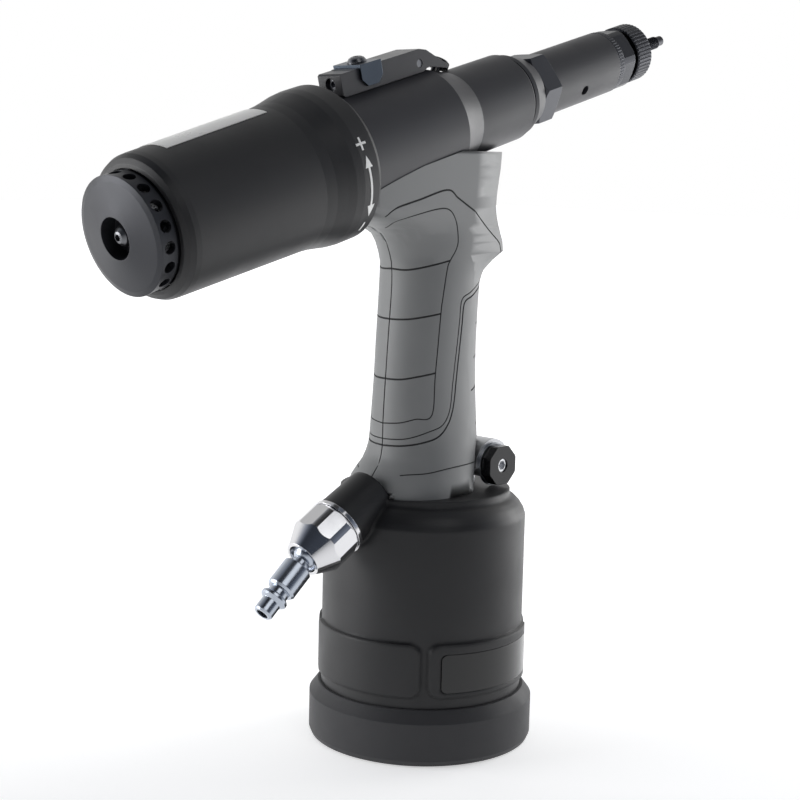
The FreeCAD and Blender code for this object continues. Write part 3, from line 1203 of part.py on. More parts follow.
def barrel_nodes():
    """Nodes made along the barrel axis, before they are tilted into place."""
    nodes = {
        "front_gland": front_gland(), "hex_collar": hex_collar(), "nose_sleeve": nose_sleeve(),
        "nose_nut": nose_nut(), "anvil": anvil(), "pull_piston": pull_piston(),
        "pull_piston_seal": pull_piston_seal(), "return_springs": return_springs(),
        "drive_spindle": drive_spindle(), "mandrel": mandrel(), "rear_housing": rear_housing(),
        "top_label": top_label(), "stroke_stop": stroke_stop(), "motor_casing": motor_casing(),
        "exhaust_cap": exhaust_cap(), "cap_screw": cap_screw(), "motor_rear_plate": motor_rear_plate(),
        "motor_front_plate": motor_front_plate(), "shaft_bearings": shaft_bearings(),
        "motor_liner": motor_liner(), "motor_rotor": motor_rotor(), "rotor_vanes": rotor_vanes(),
        "sun_pinion": sun_pinion(), "ring_gear": ring_gear(), "planet_carrier": planet_carrier(),
        "lever_arm": lever_arm(), "lever_pin": lever_pin(), "lever_clip": lever_clip(),
        "button_screw": button_screw(), "lever_set_screw": lever_set_screw(),
        "reverse_button": reverse_button()}
    for index in range(PLANET_COUNT):
        nodes["planet_gear_%d" % (index + 1)] = planet_gear(index)
    return nodes


def main():
    """Build and write every node."""
    os.makedirs(OUT, exist_ok=True)
    for name, shape in upright_nodes().items():
        save(name, shape)
    for name, shape in barrel_nodes().items():
        save(name, on_barrel(shape))
    save("shaft_seals", Part.makeCompound([rod_seal(), on_barrel(gland_seal())]))


main()
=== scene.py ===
# %% [markdown]
# # Dressing a pneumatic gun for threaded rivets
# The solids come from the CAD pack, already in their places and on their moving bodies. This lesson gives each of
# them a finish, adds what solids leave out (moulding grooves, threads, knurls, printed marks), and lights the result.

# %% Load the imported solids
import json
import math

import bmesh
import bpy
from mathutils import Matrix, Vector
from mathutils.bvhtree import BVHTree


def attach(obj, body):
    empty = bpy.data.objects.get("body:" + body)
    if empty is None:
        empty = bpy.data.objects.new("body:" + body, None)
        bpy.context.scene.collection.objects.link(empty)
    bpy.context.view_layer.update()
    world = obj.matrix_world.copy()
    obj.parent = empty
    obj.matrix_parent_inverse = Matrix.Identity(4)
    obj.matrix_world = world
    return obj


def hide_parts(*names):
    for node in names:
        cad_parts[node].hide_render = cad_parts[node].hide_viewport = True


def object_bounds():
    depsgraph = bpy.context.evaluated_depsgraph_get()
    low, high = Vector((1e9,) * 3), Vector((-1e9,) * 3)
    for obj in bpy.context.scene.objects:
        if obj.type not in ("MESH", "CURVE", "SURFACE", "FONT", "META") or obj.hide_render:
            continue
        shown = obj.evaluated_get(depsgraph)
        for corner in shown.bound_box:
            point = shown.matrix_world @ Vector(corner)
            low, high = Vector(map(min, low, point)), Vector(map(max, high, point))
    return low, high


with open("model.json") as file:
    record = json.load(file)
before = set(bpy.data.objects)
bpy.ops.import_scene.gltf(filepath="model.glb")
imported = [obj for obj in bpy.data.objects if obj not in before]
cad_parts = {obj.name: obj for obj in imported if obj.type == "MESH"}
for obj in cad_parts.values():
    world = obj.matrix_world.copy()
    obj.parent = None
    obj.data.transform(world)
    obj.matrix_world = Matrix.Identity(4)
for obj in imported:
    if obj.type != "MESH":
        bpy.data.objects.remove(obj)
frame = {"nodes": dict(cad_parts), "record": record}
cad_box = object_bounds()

MM = 0.001
nodes = frame["nodes"]
print("solids loaded:", len(nodes))

# %% [markdown]
# ## The barrel's own frame
# The barrel leans upwards over the upright handle. Everything turned on it (threads, marks, knurls) is easier to
# describe along its axis: a station along the axis, a sideways offset and a height above the axis.

# %% Barrel frame
BARREL_TILT = math.radians(15.4)
BARREL_HEIGHT = 267.0


def on_barrel(station, side, rise):
    """Point in metres from millimetres along, beside and above the barrel's axis."""
    c, k = math.cos(BARREL_TILT), math.sin(BARREL_TILT)
    return Vector((station * c - rise * k, side, BARREL_HEIGHT + station * k + rise * c)) * MM


print("barrel axis passes", tuple(round(v, 4) for v in on_barrel(0, 0, 0)))

# %% [markdown]
# ## Two small helpers for materials
# Colours are written as sRGB hex, as a paint chart gives them, and turned to linear values for the shader. One
# function adds a node with its settings and links, so that each finish reads as a short recipe.


# %% Colour and node helpers
def colour(hex_text, gain=1.0):
    """Linear RGBA from an sRGB hex text."""
    values = [int(hex_text[i:i + 2], 16) / 255 for i in (1, 3, 5)]
    linear = [v / 12.92 if v <= 0.04045 else ((v + 0.055) / 1.055) ** 2.4 for v in values]
    return tuple(min(1.0, v * gain) for v in linear) + (1.0,)


def add(tree, kind, inputs=None, **settings):
    """Add one node; an input is a plain value or another node's output."""
    node = tree.nodes.new(kind)
    for key, value in settings.items():
        setattr(node, key, value)
    for key, value in (inputs or {}).items():
        if isinstance(value, bpy.types.NodeSocket):
            tree.links.new(value, node.inputs[key])
        else:
            node.inputs[key].default_value = value
    return node


# %% [markdown]
# ## One recipe for every surface
# Paint, rubber, moulded plastic and bare metal differ in numbers, not in kind: a grain of a real size that lifts the
# surface by a real height, a slow drift of tone, a drift of gloss, and edges that catch the light because no real
# edge is sharp. The Bevel node rounds the normal at edges; where it turns away from the true normal there is an
# edge, and handling has rubbed that edge a little lighter.


# %% Surface recipe
def surface(name, hex_text, rough, metallic=0.0, ior=1.5, grain=0.5, lift=0.02, drift=0.06, drift_size=18.0,
            gloss_drift=0.05, edge=0.35, edge_tone=1.0, lay=None, coat=0.0, sheen=0.0, grain_detail=3.0):
    """Material with grain and edge sizes in millimetres; lay gives stretch factors for a brushed or turned grain."""
    made = bpy.data.materials.new(name)
    made.use_nodes = True
    tree = made.node_tree
    tree.nodes.clear()
    place = add(tree, "ShaderNodeTexCoord").outputs["Object"]
    if lay:
        place = add(tree, "ShaderNodeMapping", {"Vector": place, "Rotation": (0, BARREL_TILT, 0), "Scale": lay})
        place = place.outputs["Vector"]
    fine = add(tree, "ShaderNodeTexNoise", {"Vector": place, "Scale": 1 / (grain * MM), "Detail": grain_detail,
                                            "Roughness": 0.55})
    slow = add(tree, "ShaderNodeTexNoise", {"Vector": place, "Scale": 1 / (drift_size * MM), "Detail": 4.0,
                                            "Roughness": 0.6})
    toned = add(tree, "ShaderNodeMix", {0: slow.outputs["Fac"], 6: colour(hex_text, 1 - drift),
                                        7: colour(hex_text, 1 + drift)}, data_type="RGBA")
    soft = add(tree, "ShaderNodeBevel", {"Radius": edge * MM}, samples=4)
    shown = toned.outputs[2]
    if edge_tone != 1.0:
        true_normal = add(tree, "ShaderNodeNewGeometry").outputs["Normal"]
        turn = add(tree, "ShaderNodeVectorMath", {0: soft.outputs["Normal"], 1: true_normal}, operation="DOT_PRODUCT")
        worn = add(tree, "ShaderNodeMapRange", {"Value": turn.outputs["Value"], "From Min": 0.99, "From Max": 0.86,
                                                "To Min": 0.0, "To Max": 1.0})
        rubbed = add(tree, "ShaderNodeMath", {0: worn.outputs["Result"], 1: slow.outputs["Fac"]},
                     operation="MULTIPLY")
        shown = add(tree, "ShaderNodeMix", {0: rubbed.outputs["Value"], 6: shown,
                                            7: colour(hex_text, edge_tone)}, data_type="RGBA").outputs[2]
    gloss = add(tree, "ShaderNodeMapRange", {"Value": slow.outputs["Fac"], "From Min": 0.3, "From Max": 0.7,
                                             "To Min": max(0.02, rough - gloss_drift), "To Max": rough + gloss_drift})
    bump = add(tree, "ShaderNodeBump", {"Height": fine.outputs["Fac"], "Normal": soft.outputs["Normal"],
                                        "Distance": lift * MM, "Strength": 1.0})
    shader = add(tree, "ShaderNodeBsdfPrincipled", {"Base Color": shown, "Roughness": gloss.outputs["Result"],
                                                    "Normal": bump.outputs["Normal"], "Metallic": metallic,
                                                    "IOR": ior, "Coat Weight": coat, "Sheen Weight": sheen})
    add(tree, "ShaderNodeOutputMaterial", {"Surface": shader.outputs["BSDF"]})
    return made


# %% [markdown]
# ## The finishes
# Each line starts from what the real surface is: the cast parts are powder coated or enamelled, the grip and trigger
# are glass-filled nylon with a spark-eroded texture, the boot is moulded nitrile rubber, the hardware is phosphated,
# blackened, zinc plated or chrome plated steel. Grains finer than about 0.3 mm would vanish at normal viewing
# distance, so the finest are drawn at that size.

# %% Painted and moulded finishes
finishes = {
    # Nitrile rubber, moulded: dull black, faintly grey with dust, soft grain.
    "rubber_boot": surface("Moulded nitrile rubber", "#29292c", 0.62, ior=1.52, grain=0.6, lift=0.03, drift=0.14,
                           gloss_drift=0.06, edge=0.5, edge_tone=1.5, sheen=0.08),
    # Powder coat over cast aluminium: near black, tiny pebbles that break the highlight into a soft sheen.
    "black_paint": surface("Black powder coat on cast aluminium", "#1b1b1d", 0.46, ior=1.5, grain=0.45, lift=0.018,
                           drift=0.08, edge=0.5, edge_tone=1.7),
    # The same coat where it pools over the cast cylinder's soft shoulder and panel edges.
    "cylinder_paint": surface("Thick powder coat on the cylinder", "#1a1a1c", 0.46, ior=1.5, grain=0.45, lift=0.018,
                              drift=0.08, edge=2.2, edge_tone=1.25),
    # Satin enamel over a machined casting: dark grey, fine orange peel.
    "grey_paint": surface("Satin grey enamel", "#333337", 0.44, ior=1.5, grain=0.5, lift=0.012, drift=0.06,
                          edge=0.3, edge_tone=1.15),
    # Glass-filled nylon with a spark-eroded texture: warm mid grey, dull.
    "grip_moulding": surface("Spark-textured glass-filled nylon", "#808181", 0.52, ior=1.53, grain=0.42, lift=0.022,
                             drift=0.05, edge=0.3, edge_tone=1.12, sheen=0.05),
    # The same nylon without glass: slightly darker, a little smoother.
    "trigger_plastic": surface("Moulded nylon trigger", "#6e6e6c", 0.5, ior=1.53, grain=0.5, lift=0.02, drift=0.05),
    # Polyester film under clear gloss: blank rating plates.
    "name_plate": surface("Gloss black polyester film", "#0a0a0b", 0.2, ior=1.45, grain=3.0, lift=0.004, drift=0.05,
                          coat=0.25),
    # Vinyl film: clean white with a weak gloss that shows at a low angle.
    "white_label": surface("White vinyl film", "#f1f0ec", 0.3, ior=1.5, grain=1.2, lift=0.004, drift=0.02),
    # Acetal, turned and polished: glossy black knob and button.
    "black_knob": surface("Polished black acetal", "#141416", 0.2, ior=1.48, grain=1.0, lift=0.003, drift=0.05),
    # Nitrile lip seals: soft dull black.
    "seal_rubber": surface("Lip seal rubber", "#1b1b1c", 0.55, ior=1.52, grain=0.5, lift=0.01),
    # Cloth laminated with resin: brown, with a streaky tone.
    "vane_resin": surface("Laminated resin vane", "#6a4c2e", 0.5, ior=1.55, grain=0.4, lift=0.01, drift=0.15),
}
print("painted and moulded finishes:", len(finishes))

# %% [markdown]
# Metals keep the default IOR, because their reflection comes from the base colour. A lay with two large factors and
# one small one squeezes the grain into fine rings round the barrel, as a lathe leaves them.

# %% Metal finishes
TURNED = (1.0, 0.02, 0.02)
finishes.update({
    # Manganese phosphate over machined steel: dark grey with fine lathe rings.
    "steel_dark": surface("Phosphated turned steel", "#525357", 0.38, metallic=1.0, grain=0.35, lift=0.01,
                          drift=0.12, edge=0.3, edge_tone=1.5, lay=TURNED),
    # Black oxide: blue-black, slightly oily sheen.
    "black_oxide": surface("Black oxide steel", "#3a3b3e", 0.36, metallic=1.0, grain=0.4, lift=0.008, drift=0.12,
                           edge=0.3, edge_tone=1.6),
    # Blued spring steel strip.
    "clip_steel": surface("Blued spring steel strip", "#454c55", 0.36, metallic=1.0, grain=0.5, lift=0.008,
                          drift=0.1, edge=0.25, edge_tone=1.4),
    # Hardened and ground: grey, with fine rings that spread the highlight across.
    "hard_steel": surface("Ground hardened steel", "#8c8d90", 0.28, metallic=1.0, grain=0.35, lift=0.006,
                          drift=0.06, lay=TURNED),
    # Drawn wire under oil: smooth grey.
    "spring_steel": surface("Oiled spring steel", "#6c6e72", 0.32, metallic=1.0, grain=0.5, lift=0.006),
    # Bright zinc plate: pale grey, soft sheen.
    "zinc_screw": surface("Zinc plated steel", "#a3a5a9", 0.3, metallic=1.0, grain=0.5, lift=0.006, drift=0.08,
                          edge=0.25, edge_tone=1.2),
    # Polished stainless steel: the bright point in the middle of a dark knob.
    "socket_bright": surface("Bright stainless steel", "#d4d5d8", 0.2, metallic=1.0, grain=0.5, lift=0.004),
    # Nickel and chrome plate: nearly a mirror with a little polishing haze.
    "chrome": surface("Nickel-chrome plate", "#e4e4e6", 0.12, metallic=1.0, grain=0.8, lift=0.003, drift=0.03,
                      gloss_drift=0.03, edge=0.3),
    # Zinc-nickel plate on the quick plug: cooler and softer than the chrome beside it.
    "plug_steel": surface("Zinc-nickel plated plug", "#b9c0cb", 0.22, metallic=1.0, grain=0.5, lift=0.006,
                          drift=0.08, edge=0.3, edge_tone=1.3),
    # Bearing bronze: warm, turned.
    "bronze": surface("Turned bronze", "#b08a4a", 0.3, metallic=1.0, grain=0.35, lift=0.006, drift=0.1),
    # Aluminium straight from the cutter: pale, satin.
    "aluminium_plain": surface("Machined aluminium", "#c3c4c6", 0.34, metallic=1.0, grain=0.35, lift=0.008,
                               drift=0.05),
    # Blackened after turning: nearly black, its edges rubbed bright by use.
    "nose_black": surface("Blackened turned steel", "#3c3d41", 0.36, metallic=1.0, grain=0.35, lift=0.01, drift=0.12,
                          edge=0.3, edge_tone=1.7, lay=TURNED),
    # Stoved lacquer on pressed steel: black, worn to metal along its edges.
    "lever_black": surface("Black lacquered steel", "#2c2c30", 0.36, ior=1.5, grain=0.4, lift=0.01, drift=0.08,
                           edge=0.35, edge_tone=2.2),
    # Browned steel: mid grey with a warm cast in the light.
    "screw_dark": surface("Browned steel screw", "#77787b", 0.3, metallic=1.0, grain=0.5, lift=0.006, drift=0.1,
                          edge=0.2, edge_tone=1.3),
    # Anodised and dyed end cap: dark satin metal.
    "cap_black": surface("Dark satin end cap", "#36373b", 0.38, metallic=0.6, grain=0.4, lift=0.01, drift=0.08,
                         edge=0.4, edge_tone=1.5),
})
print("all finishes:", len(finishes))

# %% Give every solid its finish
own_finish = {"lever_clip": "clip_steel", "air_plug": "plug_steel", "exhaust_cap": "cap_black",
              "anvil": "nose_black", "nose_nut": "nose_black", "lever_arm": "lever_black", "cap_screw": "screw_dark",
              "button_screw": "screw_dark", "lever_pin": "screw_dark", "power_cylinder": "cylinder_paint"}
for item in frame["record"]["subparts"]:
    chosen = finishes[own_finish.get(item["node"], item["material_slot"])]
    mesh = nodes[item["node"]].data
    mesh.materials.clear()
    mesh.materials.append(chosen)

# %% [markdown]
# ## Groove lines of the grip
# The two nylon half shells carry shallow moulded lines: one parts the shroud from the grip, one frames the palm pad
# with its cross lines, two frame the finger panel, short ones mark where the fingers lie, and one rings the foot.
# Each line is listed by a few points on the left half; the right half has the same lines mirrored. The points are
# rounded to a smooth line and pulled onto the shell. Painting the lines would leave them flat, so a thin tube along
# each is cut out of the shell.

# %% Groove radius and line points on the left half of the grip, in millimetres
BOLD, FINE = 0.40, 0.28
groove_lines = {
    "shroud": (BOLD, [(-46.1, -17.1, 228.6), (-43.2, -20.5, 232.1), (-30.7, -21.6, 235.6), (-15.0, -22.1, 239.5),
                      (-8.2, -21.9, 236.3), (-1.1, -21.7, 232.7), (16.4, -15.8, 224.4), (30.7, -11.1, 217.1),
                      (33.3, -10.3, 214.0), (34.2, -8.0, 210.0)]),
    "palm": (FINE, [(-35.1, -6.5, 223.5), (-38.2, -16.5, 226.9), (-29.5, -20.6, 229.8), (-15.3, -21.6, 231.9),
                    (-8.6, -21.2, 227.5), (-4.9, -19.7, 217.7), (-7.5, -18.1, 210.3), (-8.6, -17.5, 207.0),
                    (-10.6, -17.0, 193.7), (-11.2, -16.9, 188.3), (-13.1, -16.4, 163.0), (-14.8, -16.6, 145.4),
                    (-21.3, -13.0, 143.7), (-25.3, -8.2, 142.0), (-27.2, 0.0, 141.1)]),
    "cross_high": (BOLD, [(-24.0, 0.0, 206.2), (-22.3, -7.5, 206.0), (-16.6, -13.9, 207.7), (-7.7, -18.0, 210.1)]),
    "cross_mid": (BOLD, [(-24.6, 0.0, 185.1), (-23.5, -6.3, 185.3), (-20.4, -11.3, 186.0), (-11.2, -16.9, 188.0)]),
    "cross_low": (BOLD, [(-26.2, 0.0, 160.0), (-24.8, -7.1, 160.2), (-21.0, -12.1, 161.3), (-13.1, -16.4, 163.0)]),
    "panel": (BOLD, [(21.0, -8.0, 200.3), (13.5, -15.4, 197.4), (7.4, -17.5, 194.6), (2.0, -18.2, 191.9),
                     (0.9, -18.0, 182.6), (-0.1, -17.9, 173.1), (-2.3, -18.1, 154.0), (-4.3, -18.5, 145.7),
                     (-7.4, -18.7, 140.2), (-12.6, -18.2, 135.8), (-20.0, -15.0, 133.5), (-25.5, -8.7, 132.2),
                     (-27.3, 0.0, 131.7)]),
    "panel_inner": (FINE, [(21.0, -8.0, 202.3), (13.0, -15.6, 199.4), (5.6, -17.9, 196.2), (0.2, -18.3, 193.3),
                           (-0.8, -18.1, 184.0), (-1.8, -18.0, 174.3), (-4.1, -18.0, 155.3), (-5.8, -18.3, 146.5),
                           (-9.8, -18.3, 140.8), (-16.9, -16.3, 138.1), (-24.3, -10.4, 135.3), (-27.2, 0.0, 134.5)]),
    "finger_high": (BOLD, [(12.9, -15.1, 182.3), (19.3, -11.5, 184.0), (21.6, -5.0, 185.0)]),
    "finger_mid": (BOLD, [(12.1, -15.3, 167.7), (19.2, -11.5, 169.9), (22.0, -5.0, 171.0)]),
    "finger_low": (BOLD, [(9.8, -16.5, 153.7), (18.9, -12.0, 156.0), (22.5, -5.0, 157.2)]),
    "finger_last": (BOLD, [(14.6, -15.3, 138.6), (19.0, -12.0, 140.3), (22.8, -5.0, 141.6)]),
    "foot": (FINE, [(20.0, -16.0, 123.2), (12.0, -20.3, 123.2), (2.8, -22.1, 123.2), (-11.9, -22.3, 122.6),
                    (-21.2, -19.4, 121.4), (-28.9, -12.3, 120.5)]),
}


def rounded(points, step=1.0):
    """Points on a smooth line through the given ones, about one millimetre apart."""
    ends = [points[0]] + list(points) + [points[-1]]
    line = []
    for a, b, c, d in zip(ends, ends[1:], ends[2:], ends[3:]):
        count = max(2, round(math.dist(b, c) / step))
        for k in range(count):
            t = k / count
            line.append(tuple(0.5 * (2 * b[i] + (c[i] - a[i]) * t + (2 * a[i] - 5 * b[i] + 4 * c[i] - d[i]) * t * t
                                     + (3 * b[i] - a[i] - 3 * c[i] + d[i]) * t ** 3) for i in range(3)))
    return line + [tuple(points[-1])]


print("groove lines:", len(groove_lines))

# %% [markdown]
# A CAD mesh arrives as loose triangles, so a copy is welded before anything is cut from it. The tubes are curves
# with a round bevel, because a curve gives clean caps and an even wall.


# %% Weld a copy, drop a line on it, and make the cutting tube
def welded(node, name):
    """Copy of a solid's mesh with its corners joined."""
    bm = bmesh.new()
    bm.from_mesh(nodes[node].data)
    bmesh.ops.remove_doubles(bm, verts=bm.verts, dist=1e-6)
    mesh = bpy.data.meshes.new(name)
    bm.to_mesh(mesh)
    bm.free()
    return mesh


def pulled(line, shell, side):
    """The line's points on one shell; a point on the parting plane goes a little past it, to cut right through."""
    path = []
    for x, y, z in line:
        hit = shell.find_nearest(Vector((x, -side * y, z)) * MM)[0]
        if abs(y) < 0.35:
            hit = Vector((hit.x, -side * 0.4 * MM, hit.z))
        if not path or (hit - path[-1]).length > 0.25 * MM:
            path.append(hit)
    return path


def seam(shell, side, way, low, high):
    """Points along the parting line, on the rear (way 1) or the front (way -1) of the grip."""
    hits = [shell.ray_cast(Vector((-0.2 * way, side * 0.0002, z * MM)), Vector((way, 0, 0)))[0]
            for z in range(low, high, 3)]
    return [Vector((hit.x, 0, hit.z)) for hit in hits if hit is not None]


def tube(points, radius, name):
    """Closed round tube along the points."""
    curve = bpy.data.curves.new(name, "CURVE")
    curve.dimensions = "3D"
    curve.bevel_depth = radius
    curve.bevel_resolution = 2
    curve.use_fill_caps = True
    spline = curve.splines.new("POLY")
    spline.points.add(len(points) - 1)
    for point, place in zip(spline.points, points):
        point.co = (*place, 1)
    holder = bpy.data.objects.new(name, curve)
    mesh = bpy.data.meshes.new_from_object(holder)
    bpy.data.objects.remove(holder)
    return mesh


# Painted shade: the bottom of each moulded line is coloured darker and duller than the shell.
groove_painted_shade = surface("Painted shade in nylon grooves", "#2c2c2d", 0.7, ior=1.53, grain=0.5, lift=0.01)
print("groove radii in millimetres:", BOLD, FINE)


# %% [markdown]
# A Boolean with the exact solver takes each tube out of the shell and keeps the tube's darker colour, a painted
# shade, on the new faces. It also splits the shell's long faces, which would disturb the smooth shading beside each
# line. The shell's own normals are therefore copied back onto the skin, everywhere but in the grooves.


# %% Cut the grooves
LEAST_LEFT = 0.8
REAR_SEAM, FRONT_SEAM = (116, 222), (137, 200)


def cut_with(target, cutter_mesh):
    """Take one closed tube out of the target's mesh; a failed cut, which loses most faces, is dropped."""
    cutter = bpy.data.objects.new("cutter", cutter_mesh)
    bpy.context.collection.objects.link(cutter)
    cutting = target.modifiers.new("cut", "BOOLEAN")
    cutting.operation = "DIFFERENCE"
    cutting.solver = "EXACT"
    cutting.object = cutter
    cutting.material_mode = "TRANSFER"
    bpy.context.view_layer.update()
    graph = bpy.context.evaluated_depsgraph_get()
    result = bpy.data.meshes.new_from_object(target.evaluated_get(graph))
    target.modifiers.remove(cutting)
    kept = len(result.polygons) > LEAST_LEFT * len(target.data.polygons)
    if kept:
        target.data = result
    bpy.data.objects.remove(cutter)
    return kept


def smooth_by_angle(mesh, degrees=32.0):
    """Smooth shading, with creases kept sharp."""
    mesh.shade_smooth()
    mesh.set_sharp_from_angle(angle=math.radians(degrees))


def keep_normals(target, source):
    """Give the cut skin the shell's own normals, so the cuts don't disturb the shading round them."""
    group = target.vertex_groups.new(name="skin")
    outside = {v for face in target.data.polygons if face.material_index == 0 for v in face.vertices}
    group.add(sorted(outside), 1.0, "REPLACE")
    smooth_by_angle(target.data)
    copying = target.modifiers.new("normals", "DATA_TRANSFER")
    copying.object = source
    copying.use_loop_data = True
    copying.data_types_loops = {"CUSTOM_NORMAL"}
    copying.loop_mapping = "POLYINTERP_NEAREST"
    copying.vertex_group = "skin"
    bpy.context.view_layer.update()
    graph = bpy.context.evaluated_depsgraph_get()
    result = bpy.data.meshes.new_from_object(target.evaluated_get(graph), preserve_all_data_layers=True,
                                             depsgraph=graph)
    target.modifiers.remove(copying)
    target.vertex_groups.clear()
    target.data = result


for node, side in (("grip_shell_left", -1), ("grip_shell_right", 1)):
    skin = bpy.data.objects.new(node.replace("shell", "skin"), welded(node, node + "_skin"))
    bpy.context.collection.objects.link(skin)
    skin.data.materials.clear()
    skin.data.materials.append(finishes["grip_moulding"])
    bm = bmesh.new()
    bm.from_mesh(skin.data)
    shell_tree = BVHTree.FromBMesh(bm)
    bm.free()
    paths = [(radius, pulled(rounded(line), shell_tree, side)) for radius, line in groove_lines.values()]
    paths.append((FINE, seam(shell_tree, side, 1, *REAR_SEAM)))
    paths.append((FINE, seam(shell_tree, side, -1, *FRONT_SEAM)))
    done = 0
    for radius, path in paths:
        cutter_mesh = tube(path, radius * MM, "groove")
        cutter_mesh.materials.clear()
        # The tube's dark colour lands on the groove walls as painted shade.
        cutter_mesh.materials.append(groove_painted_shade)
        done += cut_with(skin, cutter_mesh)
    keep_normals(skin, nodes[node])
    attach(skin, "tool")
    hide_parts(node)
    print(node, "grooves cut:", done, "faces:", len(skin.data.polygons))

# %% [markdown]
# ## Marks printed on the turning housing
# A plus, a double arrow and a minus tell which way to turn the housing for a longer or shorter stroke. They are pad
# printed in white. Each is a strip with a changing width, laid on the housing's round ring as a film 0.06 mm thick.

# %% Printed marks
RING_RADIUS = 31.6
FILM = 0.06


def printed(name, strips, body):
    """White film made of strips; a strip's points are station, angle in degrees, half width along the axis."""
    bm = bmesh.new()
    for across, points in strips:
        rows = []
        for station, angle, half in points:
            row = []
            for lift in (0.0, FILM):
                for sign in (-1, 1):
                    s = station + sign * half * (0 if across else 1)
                    a = math.radians(angle) + sign * (half / RING_RADIUS if across else 0)
                    r = RING_RADIUS + lift
                    row.append(bm.verts.new(on_barrel(s, -r * math.cos(a), r * math.sin(a))))
            rows.append(row)
        for low, high in zip(rows, rows[1:]):
            for i, j in ((0, 1), (1, 3), (3, 2), (2, 0)):
                bm.faces.new((low[i], low[j], high[j], high[i]))
        for row in (rows[0], rows[-1]):
            bm.faces.new((row[0], row[1], row[3], row[2]))
    bmesh.ops.recalc_face_normals(bm, faces=bm.faces)
    mesh = bpy.data.meshes.new(name)
    bm.to_mesh(mesh)
    bm.free()
    mesh.materials.append(print_white)
    made = bpy.data.objects.new(name, mesh)
    bpy.context.collection.objects.link(made)
    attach(made, body)
    return made


print_white = surface("White pad-printing ink", "#f2f2f0", 0.5, ior=1.48, grain=0.4, lift=0.004, drift=0.03)


def between(a, b, count, half_a, half_b):
    """Evenly spaced strip points from a to b."""
    return [(a[0] + (b[0] - a[0]) * k / count, a[1] + (b[1] - a[1]) * k / count,
             half_a + (half_b - half_a) * k / count) for k in range(count + 1)]


arrow_top, arrow_low = (-72.8, 9.6), (-71.1, -37.7)
neck_top, neck_low = (-72.5, 1.0), (-71.5, -27.5)
printed("mark_plus", [(False, between((-73.3, 13.6), (-73.3, 23.2), 4, 0.5, 0.5)),
                      (True, [(s, 18.4, 0.5) for s in (-75.9, -73.8)]),
                      (True, [(s, 18.4, 0.5) for s in (-72.8, -70.7)])], "housing")
printed("mark_arrow", [(False, between(arrow_top, neck_top, 5, 0.05, 1.9)),
                       (False, between(neck_top, neck_low, 16, 0.5, 0.5)),
                       (False, between(neck_low, arrow_low, 6, 1.9, 0.05))], "housing")
printed("mark_minus", [(False, between((-71.6, -43.6), (-71.8, -52.8), 6, 0.5, 0.5))], "housing")
print("marks printed on the housing ring")

# %% [markdown]
# ## The threaded mandrel
# The steel mandrel has a real M6 x 1 thread: its outline repeats once a turn while it climbs one pitch. A mesh whose
# radius depends on station and angle together gives that helix in one sheet, with a plain shank behind and the
# reduced pilot tip in front, which is how the die leaves it.

# %% Thread the mandrel
THREAD_PITCH = 1.0
THREAD_DEPTH = 0.55
shank_start, thread_start, thread_end, tip_end = 83.9, 141.2, 161.2, 166.2


def thread_radius(station, angle):
    """Radius of the mandrel at a station and angle, in millimetres."""
    if station > thread_end:
        return max(0.0, 2.35 - max(0.0, station - tip_end + 0.6))
    if station < thread_start:
        return 2.5
    phase = (station / THREAD_PITCH - angle / (2 * math.pi)) % 1.0
    fade = min(1.0, (station - thread_start) / 1.0, (thread_end - station) / 0.6 + 0.35)
    return 2.97 - THREAD_DEPTH * fade * max(0.0, min(1.0, abs(phase - 0.5) * 2.6 - 0.18))


def threaded_mandrel():
    """Closed mesh of the mandrel."""
    stations = [shank_start, thread_start]
    stations += [thread_start + k * THREAD_PITCH / 12 for k in range(1, round((thread_end - thread_start) * 12))]
    stations += [thread_end, thread_end + 0.01, thread_end + 0.6, tip_end - 0.6, tip_end - 0.3, tip_end]
    turn = 40
    bm = bmesh.new()
    rings = []
    for s in stations:
        ring = []
        for k in range(turn):
            a = 2 * math.pi * k / turn
            r = thread_radius(s, a)
            ring.append(bm.verts.new(on_barrel(s, r * math.cos(a), r * math.sin(a))))
        rings.append(ring)
    for low, high in zip(rings, rings[1:]):
        for k in range(turn):
            n = (k + 1) % turn
            bm.faces.new((low[k], low[n], high[n], high[k]))
    bm.faces.new(rings[0])
    bm.faces.new(rings[-1])
    bmesh.ops.recalc_face_normals(bm, faces=bm.faces)
    mesh = bpy.data.meshes.new("mandrel_threaded")
    bm.to_mesh(mesh)
    bm.free()
    smooth_by_angle(mesh, 40)
    return mesh


mandrel_finish = surface("Black oxide thread", "#3d3e42", 0.33, metallic=1.0, grain=0.4, lift=0.006, drift=0.15,
                         edge=0.12, edge_tone=1.8)
mandrel = bpy.data.objects.new("mandrel_threaded", threaded_mandrel())
bpy.context.collection.objects.link(mandrel)
mandrel.data.materials.append(mandrel_finish)
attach(mandrel, "spindle")
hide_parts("mandrel")
print("mandrel faces:", len(mandrel.data.polygons))

# %% [markdown]
# ## Rows of ridges, made by Geometry Nodes
# A knurl is one small ridge repeated round a circle. A node tree places the ridge on a mesh circle, turns each copy
# outwards, and makes the copies real. The count, radius, length, width and height are named inputs, so the same tree
# can serve any ring.


